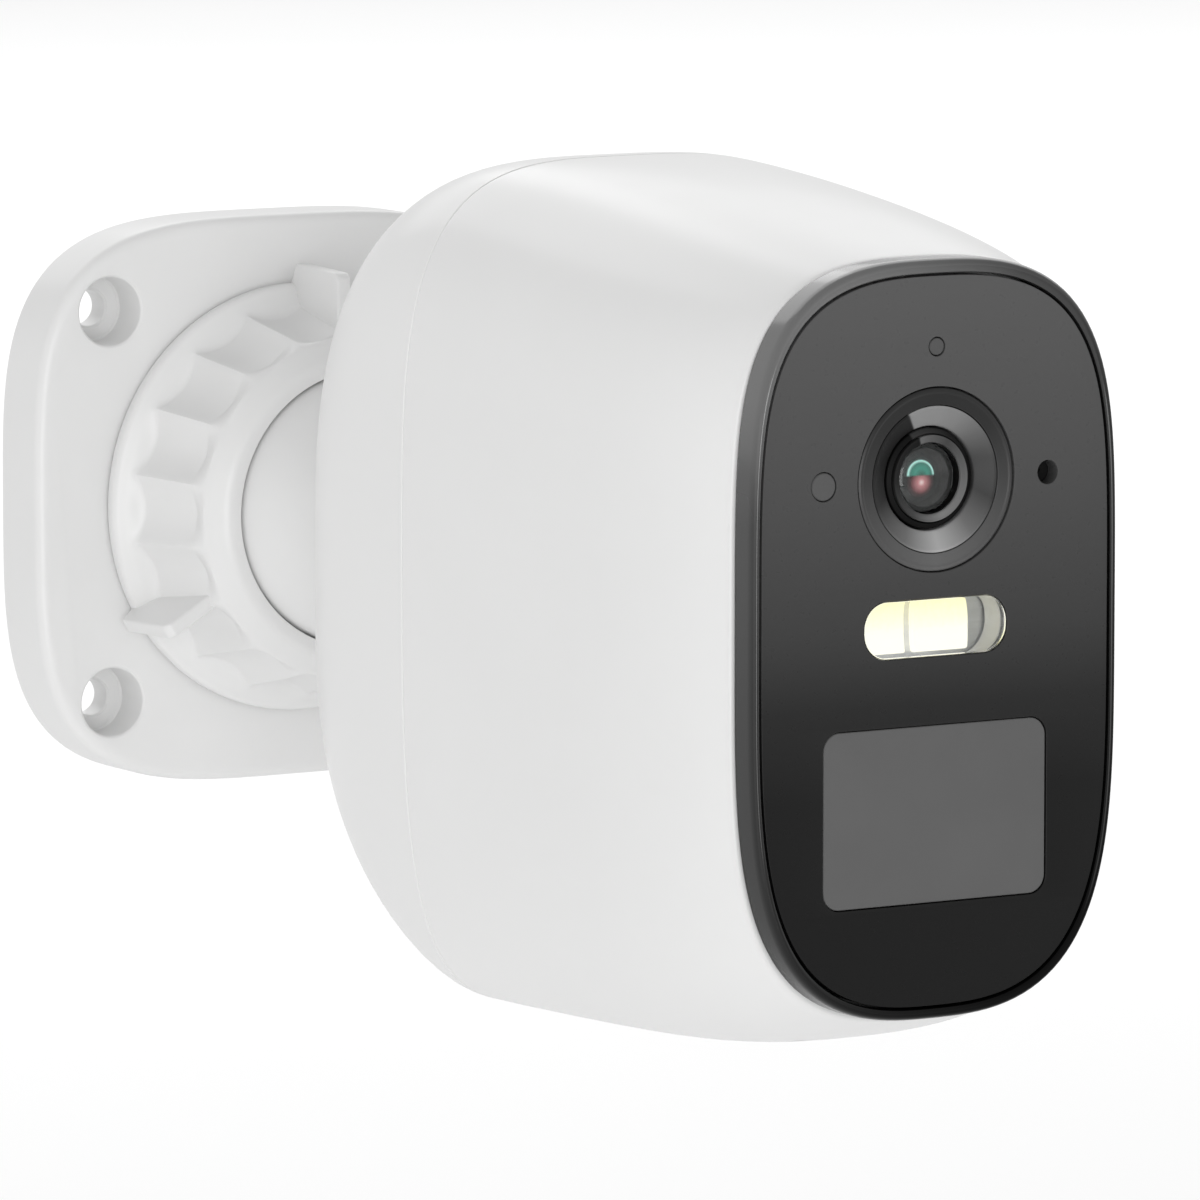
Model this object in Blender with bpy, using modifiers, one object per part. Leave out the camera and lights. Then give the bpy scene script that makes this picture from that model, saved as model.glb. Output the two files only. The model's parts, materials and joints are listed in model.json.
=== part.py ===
"""Floodlight security camera on a ball-jointed wall plate.

Metres, +Z up. The wall is the plane y = 0 and the camera looks along -Y. The origin is the
centre of the wall plate's back face. Inside the camera, places are given as a depth behind
the front face, so depth d is y = FRONT_Y + d.
"""

import math

import bmesh
import bpy
import numpy as np
from mathutils import Matrix, Vector

MM = 0.001
GAP = 0.3 * MM

# Camera body, front to back
FRONT_Y = -148.0 * MM
BEZEL_DEPTH = 3.8 * MM
SEAM_DEPTH = 62.7 * MM
REAR_DEPTH = 96.6 * MM
WALL = 2.2 * MM

# Heights of the three centres above the ball joint's axis
LENS_Z = 15.0 * MM
FACE_Z = -1.6 * MM
BODY_Z = -1.9 * MM

# Half width, height above and height below the centre of each outline
BEZEL_SIZES = (23.1 * MM, 40.2 * MM, 41.5 * MM)
PANEL_SIZES = (21.95 * MM, 38.35 * MM, 40.0 * MM)
SHELL_FRONT = (23.5 * MM, 40.6 * MM, 41.8 * MM)
SHELL_SEAM = (29.5 * MM, 47.3 * MM, 46.9 * MM)
SHELL_BELLY = (0.0, 0.0, 1.2 * MM)
SHELL_EASE = (5.0, 1.7, 3.7)
FRONT_POWERS = (2.8, 4.6, 2.8, 3.8)
SEAM_POWERS = (3.6, 4.0, 6.2, 2.9)
POWER_EASE = 4.0
SHELL_DEPTHS = np.linspace(BEZEL_DEPTH + GAP, SEAM_DEPTH, 6)

# Rear cap: its length to the pole and how square each profile is
CAP_LENGTH = 33.5 * MM
CAP_POWERS = (3.6, 2.8, 1.7)
CAP_DROP = -6.2 * MM

# Wall plate and ball joint
PLATE_HALF_WIDTH = 34.3 * MM
PLATE_HALF_HEIGHT = 33.4 * MM
PLATE_THICKNESS = 9.0 * MM
PLATE_POWER = 3.6
SCREW_X = 24.5 * MM
SCREW_Z = 23.0 * MM
SCREW_HOLE_RADIUS = 2.15 * MM
COUNTERBORE_RADIUS = 4.0 * MM
COUNTERBORE_DEPTH = 5.4 * MM
BALL_RADIUS = 16.6 * MM
BALL_FORWARD = 11.3 * MM
BALL_Y = -(PLATE_THICKNESS + BALL_FORWARD)
NECK_RADIUS = 6.0 * MM
CUP_CLEARANCE = 1.3 * MM
SOCKET_TUBE_RADIUS = 19.3 * MM
SOCKET_TUBE_LENGTH = 12.0 * MM
COLLAR_POSITIONS = 18
COLLAR_RIB_ANGLES = (90, 210, 330)
RIB_THICKNESS = 1.8 * MM

# The face: the floodlight and motion windows, and the small windows and holes
PIR_Z = LENS_Z - 35.9 * MM
PIR_HALF = (14.2 * MM, 9.63 * MM)
LIGHT_Z = LENS_Z - 15.84 * MM
LIGHT_HALF = (9.1 * MM, 3.15 * MM)
LED_X = 3.7 * MM
STATUS_Z = LENS_Z + 14.2 * MM
SENSOR_X = 14.2 * MM
LENS_HOLE_RADIUS = 9.95 * MM
STATUS_RADIUS = 1.05 * MM
LIGHT_SENSOR_RADIUS = 1.6 * MM
MICROPHONE_RADIUS = 1.3 * MM

# Inside: depths behind the front face, and the frame's screws
FILTER_DEPTH = 20.4 * MM
IMAGE_SENSOR_DEPTH = 24.3 * MM
MAIN_BOARD_DEPTH = 29.0 * MM
FRAME_DEPTH = 36.0 * MM
FRAME_SCREW_X = 21.8 * MM
FRAME_SCREW_Z = (-26.0 * MM, 22.0 * MM)
CELL_RADIUS = 9.2 * MM
CELL_X = 9.6 * MM
CELL_BASE_Z = -33.5 * MM
BATTERY_DEPTH = 50.2 * MM

# The underside: speaker grille and port well
SPEAKER_Z = -38.8 * MM
SPEAKER_DEPTH = 22.0 * MM
GRILLE_SLOTS = 5
GRILLE_PITCH = 3.0 * MM
PORT_Y = FRONT_Y + 45.0 * MM
PORT_HALF_WIDTH = 13.2 * MM
PORT_LENGTH = 12.6 * MM
PORT_FLOOR_Z = -49.9 * MM
PORT_FLAP_TOP = -47.7 * MM
FLAP_INSET = 0.1 * MM
GUIDE_Z = -45.6 * MM
USB_X = -5.5 * MM
BUTTONS = (("power", 4.6 * MM, 2.2 * MM), ("reset", 10.2 * MM, 1.4 * MM))

PARTS = "floodlight_camera"
CUTTERS = "cutters"

FORWARD = Matrix.Rotation(math.radians(90), 4, "X")  # turns local +Z to -Y
UPRIGHT = Matrix.Identity(4)


def clear_scene():
    for obj in list(bpy.data.objects):
        bpy.data.objects.remove(obj)
    for name in (PARTS, CUTTERS):
        bpy.context.scene.collection.children.link(bpy.data.collections.new(name))


def finish_material(name, colour, roughness, metallic=0.0):
    made = bpy.data.materials.get(name) or bpy.data.materials.new(name)
    made.use_nodes = True
    shader = made.node_tree.nodes["Principled BSDF"]
    shader.inputs["Base Color"].default_value = (*colour, 1.0)
    shader.inputs["Roughness"].default_value = roughness
    shader.inputs["Metallic"].default_value = metallic
    return made


FINISHES = {
    "shell_white": ((0.78, 0.79, 0.79), 0.42, 0.0),
    "mount_white": ((0.76, 0.77, 0.77), 0.45, 0.0),
    "gloss_black": ((0.012, 0.012, 0.013), 0.12, 0.0),
    "panel_dark": ((0.05, 0.05, 0.055), 0.18, 0.0),
    "matt_black": ((0.02, 0.02, 0.02), 0.55, 0.0),
    "window_grey": ((0.12, 0.12, 0.12), 0.35, 0.0),
    "clear_glass": ((0.9, 0.95, 0.95), 0.03, 0.0),
    "phosphor": ((0.95, 0.85, 0.25), 0.5, 0.0),
    "reflector_white": ((0.85, 0.85, 0.85), 0.35, 0.0),
    "board_green": ((0.02, 0.16, 0.07), 0.4, 0.0),
    "steel": ((0.6, 0.6, 0.62), 0.3, 1.0),
    "brass": ((0.78, 0.57, 0.24), 0.3, 1.0),
    "rubber_grey": ((0.35, 0.35, 0.35), 0.8, 0.0),
    "rubber_black": ((0.03, 0.03, 0.03), 0.8, 0.0),
    "nylon": ((0.8, 0.8, 0.76), 0.5, 0.0),
    "cell_wrap": ((0.03, 0.2, 0.45), 0.35, 0.0),
}


def show(obj, finish):
    """Puts an object among the parts, with its finish, shaded smooth."""
    obj.data.materials.append(finish_material(finish, *FINISHES[finish]))
    bpy.data.collections[PARTS].objects.link(obj)
    if obj.type == "MESH":
        obj.data.shade_smooth()
        obj.data.set_sharp_from_angle(angle=math.radians(35))
    return obj


def mesh_object(name, bm, finish=None):
    bmesh.ops.recalc_face_normals(bm, faces=bm.faces)
    mesh = bpy.data.meshes.new(name)
    bm.to_mesh(mesh)
    bm.free()
    obj = bpy.data.objects.new(name, mesh)
    return show(obj, finish) if finish else as_cutter(obj)


def as_cutter(obj):
    bpy.data.collections[CUTTERS].objects.link(obj)
    obj.hide_render = True
    obj.display_type = "WIRE"
    return obj


def block(name, size, centre, finish=None, bevel=0.0):
    """A box of the given size, its long edges eased if bevel is set."""
    bm = bmesh.new()
    bmesh.ops.create_cube(bm, size=1.0, matrix=Matrix.Diagonal((*size, 1.0)))
    obj = mesh_object(name, bm, finish)
    obj.location = centre
    if bevel:
        edge = obj.modifiers.new("eased_edges", "BEVEL")
        edge.width = bevel
        edge.segments = 2
    return obj


def rod(name, radius, length, centre, turn, finish=None, segments=32):
    """A cylinder centred on a point, its axis turned from +Z."""
    bm = bmesh.new()
    bmesh.ops.create_cone(
        bm,
        cap_ends=True,
        segments=segments,
        radius1=radius,
        radius2=radius,
        depth=length,
        matrix=turn,
    )
    obj = mesh_object(name, bm, finish)
    obj.location = centre
    return obj


def turned(name, profile, centre, turn, finish=None, steps=32):
    """A profile of (radius, height) corners revolved about its local Z axis."""
    corners = [Vector((r, 0.0, h)) for r, h in profile]
    area = sum(
        a.x * b.z - b.x * a.z for a, b in zip(corners, corners[1:] + corners[:1])
    )
    if area > 0:
        corners.reverse()
    on_axis = [i for i, c in enumerate(corners) if c.x < 1e-9]
    bm = bmesh.new()
    if on_axis:
        while not (corners[0].x < 1e-9 and corners[-1].x < 1e-9):
            corners = corners[1:] + corners[:1]
    verts = [bm.verts.new(c) for c in corners]
    pairs = list(zip(verts, verts[1:]))
    if not on_axis:
        pairs.append((verts[-1], verts[0]))
    for pair in pairs:
        bm.edges.new(pair)
    mesh = bpy.data.meshes.new(name)
    bm.to_mesh(mesh)
    bm.free()
    obj = bpy.data.objects.new(name, mesh)
    spin = obj.modifiers.new("turned", "SCREW")
    spin.steps = spin.render_steps = steps
    spin.use_merge_vertices = True
    spin.merge_threshold = 1e-6
    spin.use_smooth_shade = True
    obj.matrix_world = Matrix.Translation(centre) @ turn
    return show(obj, finish) if finish else as_cutter(obj)


def outline_object(name, outlines, y_front, y_back, finish=None):
    """Flat outlines of (x, z) points, holes among them, as a slab between two depths."""
    curve = bpy.data.curves.new(name, "CURVE")
    curve.dimensions = "2D"
    curve.fill_mode = "BOTH"
    curve.extrude = (y_back - y_front) / 2
    for outline in outlines:
        spline = curve.splines.new("POLY")
        spline.points.add(len(outline) - 1)
        for point, (x, z) in zip(spline.points, outline):
            point.co = (x, z, 0.0, 1.0)
        spline.use_cyclic_u = True
    obj = bpy.data.objects.new(name, curve)
    obj.matrix_world = Matrix.Translation((0, (y_front + y_back) / 2, 0)) @ FORWARD
    return show(obj, finish) if finish else as_cutter(obj)


def as_mesh(obj):
    """The same object with its curve or modifiers made into one welded mesh."""
    bpy.context.view_layer.update()
    evaluated = obj.evaluated_get(bpy.context.evaluated_depsgraph_get())
    mesh = bpy.data.meshes.new_from_object(evaluated)
    bm = bmesh.new()
    bm.from_mesh(mesh)
    bmesh.ops.remove_doubles(bm, verts=bm.verts, dist=1e-6)
    bmesh.ops.recalc_face_normals(bm, faces=bm.faces)
    bm.to_mesh(mesh)
    bm.free()
    name, place = obj.name, obj.matrix_world.copy()
    hidden, homes = obj.hide_render, list(obj.users_collection)
    bpy.data.objects.remove(obj)
    made = bpy.data.objects.new(name, mesh)
    made.matrix_world = place
    for home in homes:
        home.objects.link(made)
    if hidden:
        made.hide_render = True
        made.display_type = "WIRE"
    return made


def combine(obj, other, operation):
    step = obj.modifiers.new(other.name, "BOOLEAN")
    step.operation = operation
    step.solver = "EXACT"
    step.object = other


def cut(obj, *cutters):
    for cutter in cutters:
        combine(obj, cutter, "DIFFERENCE")


def join(obj, *others):
    for other in others:
        combine(obj, other, "UNION")


# Outlines


def half_superellipse(half_width, height, power_x, power_z, count):
    """Evenly spaced points from (half_width, 0) to (0, height), the last left out."""
    angles = np.linspace(0.0, math.pi / 2, 400)
    x = half_width * np.cos(angles) ** (2 / power_x)
    z = height * np.sin(angles) ** (2 / power_z)
    along = np.concatenate([[0.0], np.cumsum(np.hypot(np.diff(x), np.diff(z)))])
    at = np.linspace(0.0, along[-1], count, endpoint=False)
    return np.interp(at, along, x), np.interp(at, along, z)


def egg(half_width, top, bottom, powers, centre_z, count=48):
    """A closed outline with its own height and corner shape above and below its centre."""
    quarter = count // 4
    ux, uz = half_superellipse(half_width, top, powers[0], powers[1], quarter)
    lx, lz = half_superellipse(half_width, bottom, powers[2], powers[3], quarter)
    points = list(zip(ux, uz)) + [(0.0, top)]
    points += [(-x, z) for x, z in zip(ux[:0:-1], uz[:0:-1])]
    points += [(-x, -z) for x, z in zip(lx, lz)] + [(0.0, -bottom)]
    points += [(x, -z) for x, z in zip(lx[:0:-1], lz[:0:-1])]
    return [(float(x), float(z) + centre_z) for x, z in points]


def face_outline(sizes, inset):
    """The bezel's or the panel's outline, moved inwards by an inset."""
    return egg(*(size - inset for size in sizes), FRONT_POWERS, FACE_Z)


def circle(radius, centre_x, centre_z, count=32):
    angles = [2 * math.pi * i / count for i in range(count)]
    return [(centre_x + radius * math.cos(a), centre_z + radius * math.sin(a)) for a in angles]


def rounded_rectangle(half_width, half_height, radius, centre_x, centre_z, arc_steps=6):
    points = []
    for corner in range(4):
        sign_x = 1 if corner in (0, 3) else -1
        sign_z = 1 if corner in (0, 1) else -1
        for i in range(arc_steps + 1):
            a = math.radians(90 * (corner + i / arc_steps))
            x = centre_x + sign_x * (half_width - radius) + radius * math.cos(a)
            z = centre_z + sign_z * (half_height - radius) + radius * math.sin(a)
            points.append((x, z))
    return points


def shell_sizes(depth):
    """Half width, top, bottom and corner powers of the shell's section at a depth."""
    t = (depth - BEZEL_DEPTH) / (SEAM_DEPTH - BEZEL_DEPTH)
    sizes = [
        front + (seam + belly - front) * (1 - (1 - t) ** ease) - belly * t**3
        for front, seam, belly, ease in zip(SHELL_FRONT, SHELL_SEAM, SHELL_BELLY, SHELL_EASE)
    ]
    powers = [a + (b - a) * t**POWER_EASE for a, b in zip(FRONT_POWERS, SEAM_POWERS)]
    return sizes, powers


def shell_outline(depth, inset=0.0):
    sizes, powers = shell_sizes(min(depth, SEAM_DEPTH))
    return egg(*(size - inset for size in sizes), powers, BODY_Z)


def cap_outline(share):
    """The rear cap's section at a share of the way from the seam to its pole."""
    sizes = [
        size * (1 - share**power) ** (1 / power)
        for size, power in zip(SHELL_SEAM, CAP_POWERS)
    ]
    return egg(*sizes, SEAM_POWERS, BODY_Z + CAP_DROP * share**2)


# Lofts


def ring_of(bm, outline, y):
    return [bm.verts.new((x, y, z)) for x, z in outline]


def bridge(bm, first, second):
    for i in range(len(first)):
        j = (i + 1) % len(first)
        bm.faces.new((first[i], first[j], second[j], second[i]))


def swept_frame(name, sections, finish=None):
    """A closed frame through (outline, depth) sections, the last joined to the first."""
    bm = bmesh.new()
    rings = [ring_of(bm, outline, FRONT_Y + depth) for outline, depth in sections]
    for first, second in zip(rings, rings[1:] + rings[:1]):
        bridge(bm, first, second)
    return mesh_object(name, bm, finish)


def walled(name, rings, closed_end, finish):
    """A shell of the outer surface through the rings, with its wall grown inwards."""
    bm = bmesh.new()
    lofted = [ring_of(bm, outline, y) for outline, y in rings]
    for first, second in zip(lofted, lofted[1:]):
        bridge(bm, first, second)
    if closed_end:
        bm.faces.new(lofted[-1])
    obj = mesh_object(name, bm, finish)
    wall = obj.modifiers.new("wall", "SOLIDIFY")
    wall.thickness = WALL
    wall.offset = -1.0
    wall.use_even_offset = False
    return obj


# Wall mount


def wall_plate():
    bm = bmesh.new()
    steps = ((0.5, 0.0), (0.0, 0.5), (0.0, 7.6), (0.6, 8.6), (1.8, 9.0))
    rings = []
    for inset, forward in steps:
        sizes = (PLATE_HALF_WIDTH - inset * MM, PLATE_HALF_HEIGHT - inset * MM)
        outline = egg(sizes[0], sizes[1], sizes[1], (PLATE_POWER,) * 4, 0.0)
        rings.append(ring_of(bm, outline, -forward * MM))
    for first, second in zip(rings, rings[1:]):
        bridge(bm, first, second)
    bm.faces.new(rings[0])
    bm.faces.new(rings[-1])
    plate = mesh_object("wall_plate", bm, "mount_white")

    socket_front = PLATE_THICKNESS + 9.0 * MM
    tube_centre = (0, SOCKET_TUBE_LENGTH / 2 - socket_front, 0)
    tube = rod(
        "socket_tube_form", SOCKET_TUBE_RADIUS, SOCKET_TUBE_LENGTH, tube_centre, FORWARD
    )
    join(plate, tube)
    arc = [math.radians(a) for a in range(0, 91, 15)]
    cup_radius = BALL_RADIUS + CUP_CLEARANCE
    cup = [(cup_radius * math.sin(a), -cup_radius * math.cos(a)) for a in arc]
    cup[0] = (0.0, -cup_radius)
    cup += [(cup_radius, 12.0 * MM), (0.0, 12.0 * MM)]
    cut(plate, turned("socket_cutter", cup, (0, BALL_Y, 0), FORWARD))
    for i, (sx, sz) in enumerate(((1, 1), (-1, 1), (-1, -1), (1, -1))):
        steps = [(0.0, -1 * MM), (SCREW_HOLE_RADIUS, -1 * MM)]
        floor = PLATE_THICKNESS - COUNTERBORE_DEPTH
        steps += [(SCREW_HOLE_RADIUS, floor), (COUNTERBORE_RADIUS, floor)]
        steps += [(COUNTERBORE_RADIUS, 10 * MM), (0.0, 10 * MM)]
        place = (sx * SCREW_X, 0, sz * SCREW_Z)
        cut(plate, turned(f"screw_hole_cutter_{i}", steps, place, FORWARD, steps=16))
    return plate


def friction_cup():
    """Nylon liner behind the ball, reaching half way to the equator."""
    arc = [math.radians(a) for a in (0, 17, 34, 50)]
    outer, inner = BALL_RADIUS + 1.1 * MM, BALL_RADIUS + 0.2 * MM
    profile = [(outer * math.sin(a), -outer * math.cos(a)) for a in arc]
    profile += [(inner * math.sin(a), -inner * math.cos(a)) for a in reversed(arc)]
    return turned("friction_cup", profile, (0, BALL_Y, 0), FORWARD, "nylon", 24)


def clamp_ring():
    """Slip ring whose spherical seat bears on the front half of the ball."""
    seat = BALL_RADIUS + 0.25 * MM
    heights = [(0.8 + 1.0 * i) * MM for i in range(4)]
    profile = [(math.sqrt(seat**2 - h**2), h) for h in heights]
    profile += [(18.5 * MM, heights[-1]), (18.5 * MM, heights[0])]
    return turned("clamp_ring", profile, (0, BALL_Y, 0), FORWARD, "nylon", 28)


def collar_radius(angle, base, flute_depth):
    """Radius of the collar's skirt: a shallow flute at each position between the ribs."""
    turn = 360 / COLLAR_POSITIONS
    nearest = round(angle / turn - 0.5) * turn + turn / 2
    if any(abs((nearest - rib + 180) % 360 - 180) < turn / 4 for rib in COLLAR_RIB_ANGLES):
        return base
    off = abs(angle - nearest) / (turn / 2)
    return base - flute_depth * max(0.0, 1 - (off / 0.75) ** 2)


def locking_collar():
    outer = (
        (25.35, 0.4, 0.0),
        (25.35, 1.9, 0.0),
        (23.5, 2.6, 0.0),
        (23.1, 3.6, 1.2),
        (21.3, 11.6, 0.9),
        (20.2, 14.4, 0.0),
        (17.9, 16.3, 0.0),
        (16.3, 16.3, 0.0),
    )
    inner = (
        (16.5, 15.4, 0.0),
        (18.8, 15.4, 0.0),
        (18.8, 10.2, 0.0),
        (19.6, 10.2, 0.0),
        (19.6, 0.4, 0.0),
    )
    count = COLLAR_POSITIONS * 4
    bm = bmesh.new()
    rings = []
    for base, forward, flute in outer + inner:
        ring = []
        for i in range(count):
            degrees = 360 * i / count
            r = collar_radius(degrees, base, flute) * MM
            a = math.radians(degrees)
            y = -(PLATE_THICKNESS + forward * MM)
            ring.append(bm.verts.new((r * math.cos(a), y, r * math.sin(a))))
        rings.append(ring)
    for first, second in zip(rings, rings[1:] + rings[:1]):
        bridge(bm, first, second)
    collar = mesh_object("locking_collar", bm, "mount_white")
    rib = ((20.2, 0.6), (25.2, 0.6), (27.8, 2.0), (27.4, 11.4), (26.8, 12.2), (20.2, 12.2))
    for angle in COLLAR_RIB_ANGLES:
        bm = bmesh.new()
        corners = [(r * MM, -PLATE_THICKNESS - f * MM, RIB_THICKNESS / 2) for r, f in rib]
        face = bm.faces.new([bm.verts.new(c) for c in corners])
        raised = bmesh.ops.extrude_face_region(bm, geom=[face])["geom"]
        moved = [v for v in raised if isinstance(v, bmesh.types.BMVert)]
        bmesh.ops.translate(bm, vec=(0, 0, -RIB_THICKNESS), verts=moved)
        form = mesh_object(f"rib_form_{angle}", bm)
        form.matrix_world = Matrix.Rotation(-math.radians(angle), 4, "Y")
        join(collar, form)
    return collar


def ball_stud():
    """Ball, neck and the flange that the camera's boss seats on, with a bore for the screw."""
    flange_front = -(FRONT_Y + REAR_DEPTH) - GAP + BALL_Y
    start = math.asin(8.0 * MM / BALL_RADIUS)
    arc = np.linspace(math.pi, start, 10)
    profile = [(BALL_RADIUS * math.sin(a), BALL_RADIUS * math.cos(a)) for a in arc]
    profile[0] = (0.0, -BALL_RADIUS)
    profile += [
        (NECK_RADIUS, BALL_RADIUS + 1.0 * MM),
        (NECK_RADIUS, flange_front - 5.0 * MM),
        (9.0 * MM, flange_front - 2.6 * MM),
        (10.5 * MM, flange_front - 2.2 * MM),
        (10.5 * MM, flange_front),
        (3.5 * MM, flange_front),
        (3.5 * MM, flange_front - 11.0 * MM),
        (0.0, flange_front - 11.0 * MM),
    ]
    return turned("ball_stud", profile, (0, BALL_Y, 0), FORWARD, "mount_white")


def stud_screw():
    back = FRONT_Y + REAR_DEPTH + 10.5 * MM
    profile = [(0, 0), (3.17, 0), (3.17, 18.2), (2.4, 19.0), (0, 19.0)]
    profile = [(r * MM, h * MM) for r, h in profile]
    return turned("stud_screw", profile, (0, back, 0), FORWARD, "steel", steps=24)


# Camera housing


def main_shell():
    rings = [(shell_outline(depth), FRONT_Y + depth) for depth in SHELL_DEPTHS]
    shell = as_mesh(walled("main_shell", rings, False, "shell_white"))
    boss_radius, boss_length, boss_depth = 3.6 * MM, 17.0 * MM, 27.0 * MM
    for i, (x, z) in enumerate(frame_screw_places()):
        centre = (x, FRONT_Y + boss_depth, z)
        boss = rod(f"screw_boss_form_{i}", boss_radius, boss_length, centre, FORWARD, segments=16)
        join(shell, boss)
    hole_radius, hole_length, hole_depth = 1.5 * MM, 14.0 * MM, 31.0 * MM
    for i, (x, z) in enumerate(frame_screw_places()):
        centre = (x, FRONT_Y + hole_depth, z)
        cut(shell, rod(f"boss_hole_{i}", hole_radius, hole_length, centre, FORWARD, segments=12))
    size = (PORT_HALF_WIDTH * 2, PORT_LENGTH, 12 * MM)
    cut(shell, block("port_cutter", size, (0, PORT_Y, PORT_FLOOR_Z + 3 * MM)))
    slot = (1.2 * MM, 10 * MM, 12 * MM)
    for i in range(GRILLE_SLOTS):
        x = (i - (GRILLE_SLOTS - 1) / 2) * GRILLE_PITCH
        place = (x, FRONT_Y + SPEAKER_DEPTH, SPEAKER_Z - 4 * MM)
        cut(shell, block(f"grille_cutter_{i}", slot, place))
    return shell


def rear_cap():
    shares = np.sin(np.linspace(0, 1, 7) * math.pi / 2)
    shares[-1] = 0.992
    rings = [(cap_outline(s), FRONT_Y + SEAM_DEPTH + GAP + CAP_LENGTH * s) for s in shares]
    cap = as_mesh(walled("rear_cap", rings, True, "shell_white"))
    rear_y = FRONT_Y + REAR_DEPTH
    boss_radius, boss_length = 11.0 * MM, 14.0 * MM
    boss_centre = (0, rear_y - boss_length / 2, 0)
    join(cap, rod("cap_boss_form", boss_radius, boss_length, boss_centre, FORWARD))
    bore_radius, bore_length = 5.3 * MM, 30.0 * MM
    cut(cap, rod("insert_cutter", bore_radius, bore_length, (0, rear_y - 8.0 * MM, 0), FORWARD))

    size = (100 * MM, 10 * MM, 140 * MM)
    cut(cap, block("cap_rim_cutter", size, (0, FRONT_Y + SEAM_DEPTH + GAP - size[1] / 2, 0)))
    profile = ((3.4, -3.2), (3.4, 0.8), (1.2, 0.8), (1.2, 1.6), (4.6, 1.6), (4.6, -3.2))
    join(cap, swept_frame("cap_tongue_form", seam_sections(profile)))
    return cap


def seam_sections(profile):
    """Sections inside the shell, from (inset, depth past the seam) corners in millimetres."""
    depths = [(inset * MM, SEAM_DEPTH + depth * MM) for inset, depth in profile]
    return [(shell_outline(depth, inset), depth) for inset, depth in depths]


def body_seal():
    profile = ((2.5, -2.4), (2.5, -0.8), (3.1, -0.8), (3.1, -2.4))
    return swept_frame("body_seal", seam_sections(profile), "rubber_black")


def face_sections(sizes, profile):
    """Sections of the face's outline from (inset, depth) corners in millimetres."""
    return [(face_outline(sizes, inset * MM), depth * MM) for inset, depth in profile]


def front_bezel():
    """A glossy rim round the panel, with a ledge behind it and a tongue into the shell."""
    rim = ((0.7, 0.0), (0.25, 0.25), (0.0, 0.9), (0.0, 3.8))
    ledge = ((1.35, 3.8), (1.35, 7.6), (2.55, 7.6), (2.55, 2.6), (-0.3, 2.6), (-0.3, 0.2))
    sections = face_sections(BEZEL_SIZES, rim) + face_sections(PANEL_SIZES, ledge)
    return swept_frame("front_bezel", sections, "gloss_black")


def front_seal():
    profile = ((0.55, 4.6), (0.55, 6.2), (1.05, 6.2), (1.05, 4.6))
    return swept_frame("front_seal", face_sections(PANEL_SIZES, profile), "rubber_black")


# The face


def front_panel():
    outlines = [
        face_outline(PANEL_SIZES, 0.0),
        circle(LENS_HOLE_RADIUS, 0, LENS_Z, 32),
        rounded_rectangle(*PIR_HALF, 2.1 * MM, 0, PIR_Z),
        rounded_rectangle(*LIGHT_HALF, 2.9 * MM, 0, LIGHT_Z),
        circle(STATUS_RADIUS, 0, STATUS_Z, 12),
        circle(LIGHT_SENSOR_RADIUS, -SENSOR_X, LENS_Z, 12),
        circle(MICROPHONE_RADIUS, SENSOR_X, LENS_Z, 12),
    ]
    return outline_object(
        "front_panel", outlines, FRONT_Y + 0.3 * MM, FRONT_Y + 2.3 * MM, "panel_dark"
    )


def windows():
    inset = GAP
    front, back = FRONT_Y + 0.4 * MM, FRONT_Y + 1.8 * MM
    pir = rounded_rectangle(PIR_HALF[0] - inset, PIR_HALF[1] - inset, 1.9 * MM, 0, PIR_Z)
    outline_object("pir_window", [pir], front, back, "window_grey")
    light = rounded_rectangle(
        LIGHT_HALF[0] - inset, LIGHT_HALF[1] - inset, 2.6 * MM, 0, LIGHT_Z
    )
    outline_object("floodlight_window", [light], front, back, "clear_glass")
    small = (
        ("status_light_window", STATUS_RADIUS, 0.0, STATUS_Z, "clear_glass"),
        ("light_sensor_window", LIGHT_SENSOR_RADIUS, -SENSOR_X, LENS_Z, "window_grey"),
    )
    for name, radius, x, z, finish in small:
        centre = (x, FRONT_Y + 1.4 * MM, z)
        rod(name, radius - 0.25 * MM, 1.8 * MM, centre, FORWARD, finish, 12)


def lens_piece(name, profile, finish, steps=28):
    """A turned piece on the lens axis; its profile is (radius, depth) in millimetres."""
    profile = [(r * MM, -d * MM) for r, d in profile]
    return turned(name, profile, (0, FRONT_Y, LENS_Z), FORWARD, finish, steps)


def lens_group():
    trim = (
        (9.65, 0.45),
        (9.65, 2.6),
        (11.0, 2.6),
        (11.0, 6.4),
        (5.6, 6.4),
        (5.6, 1.8),
        (7.8, 0.75),
        (8.0, 0.45),
    )
    lens_piece("lens_trim_ring", trim, "matt_black")
    barrel = (
        (5.2, 1.5),
        (5.2, 6.8),
        (6.0, 7.2),
        (6.0, 18.0),
        (2.5, 18.0),
        (2.5, 6.4),
        (3.9, 6.0),
        (3.9, 1.9),
        (4.5, 1.3),
    )
    lens_piece("lens_barrel", barrel, "matt_black")
    glass = [(0.0, 2.0), (1.2, 2.1), (2.4, 2.5), (3.6, 3.4), (3.6, 4.8), (0.0, 4.8)]
    lens_piece("lens_front_element", glass, "clear_glass")
    rear = [(0.0, 14.0), (2.2, 14.4), (2.2, 15.6), (0.0, 16.2)]
    lens_piece("lens_rear_element", rear, "clear_glass", 24)


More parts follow.
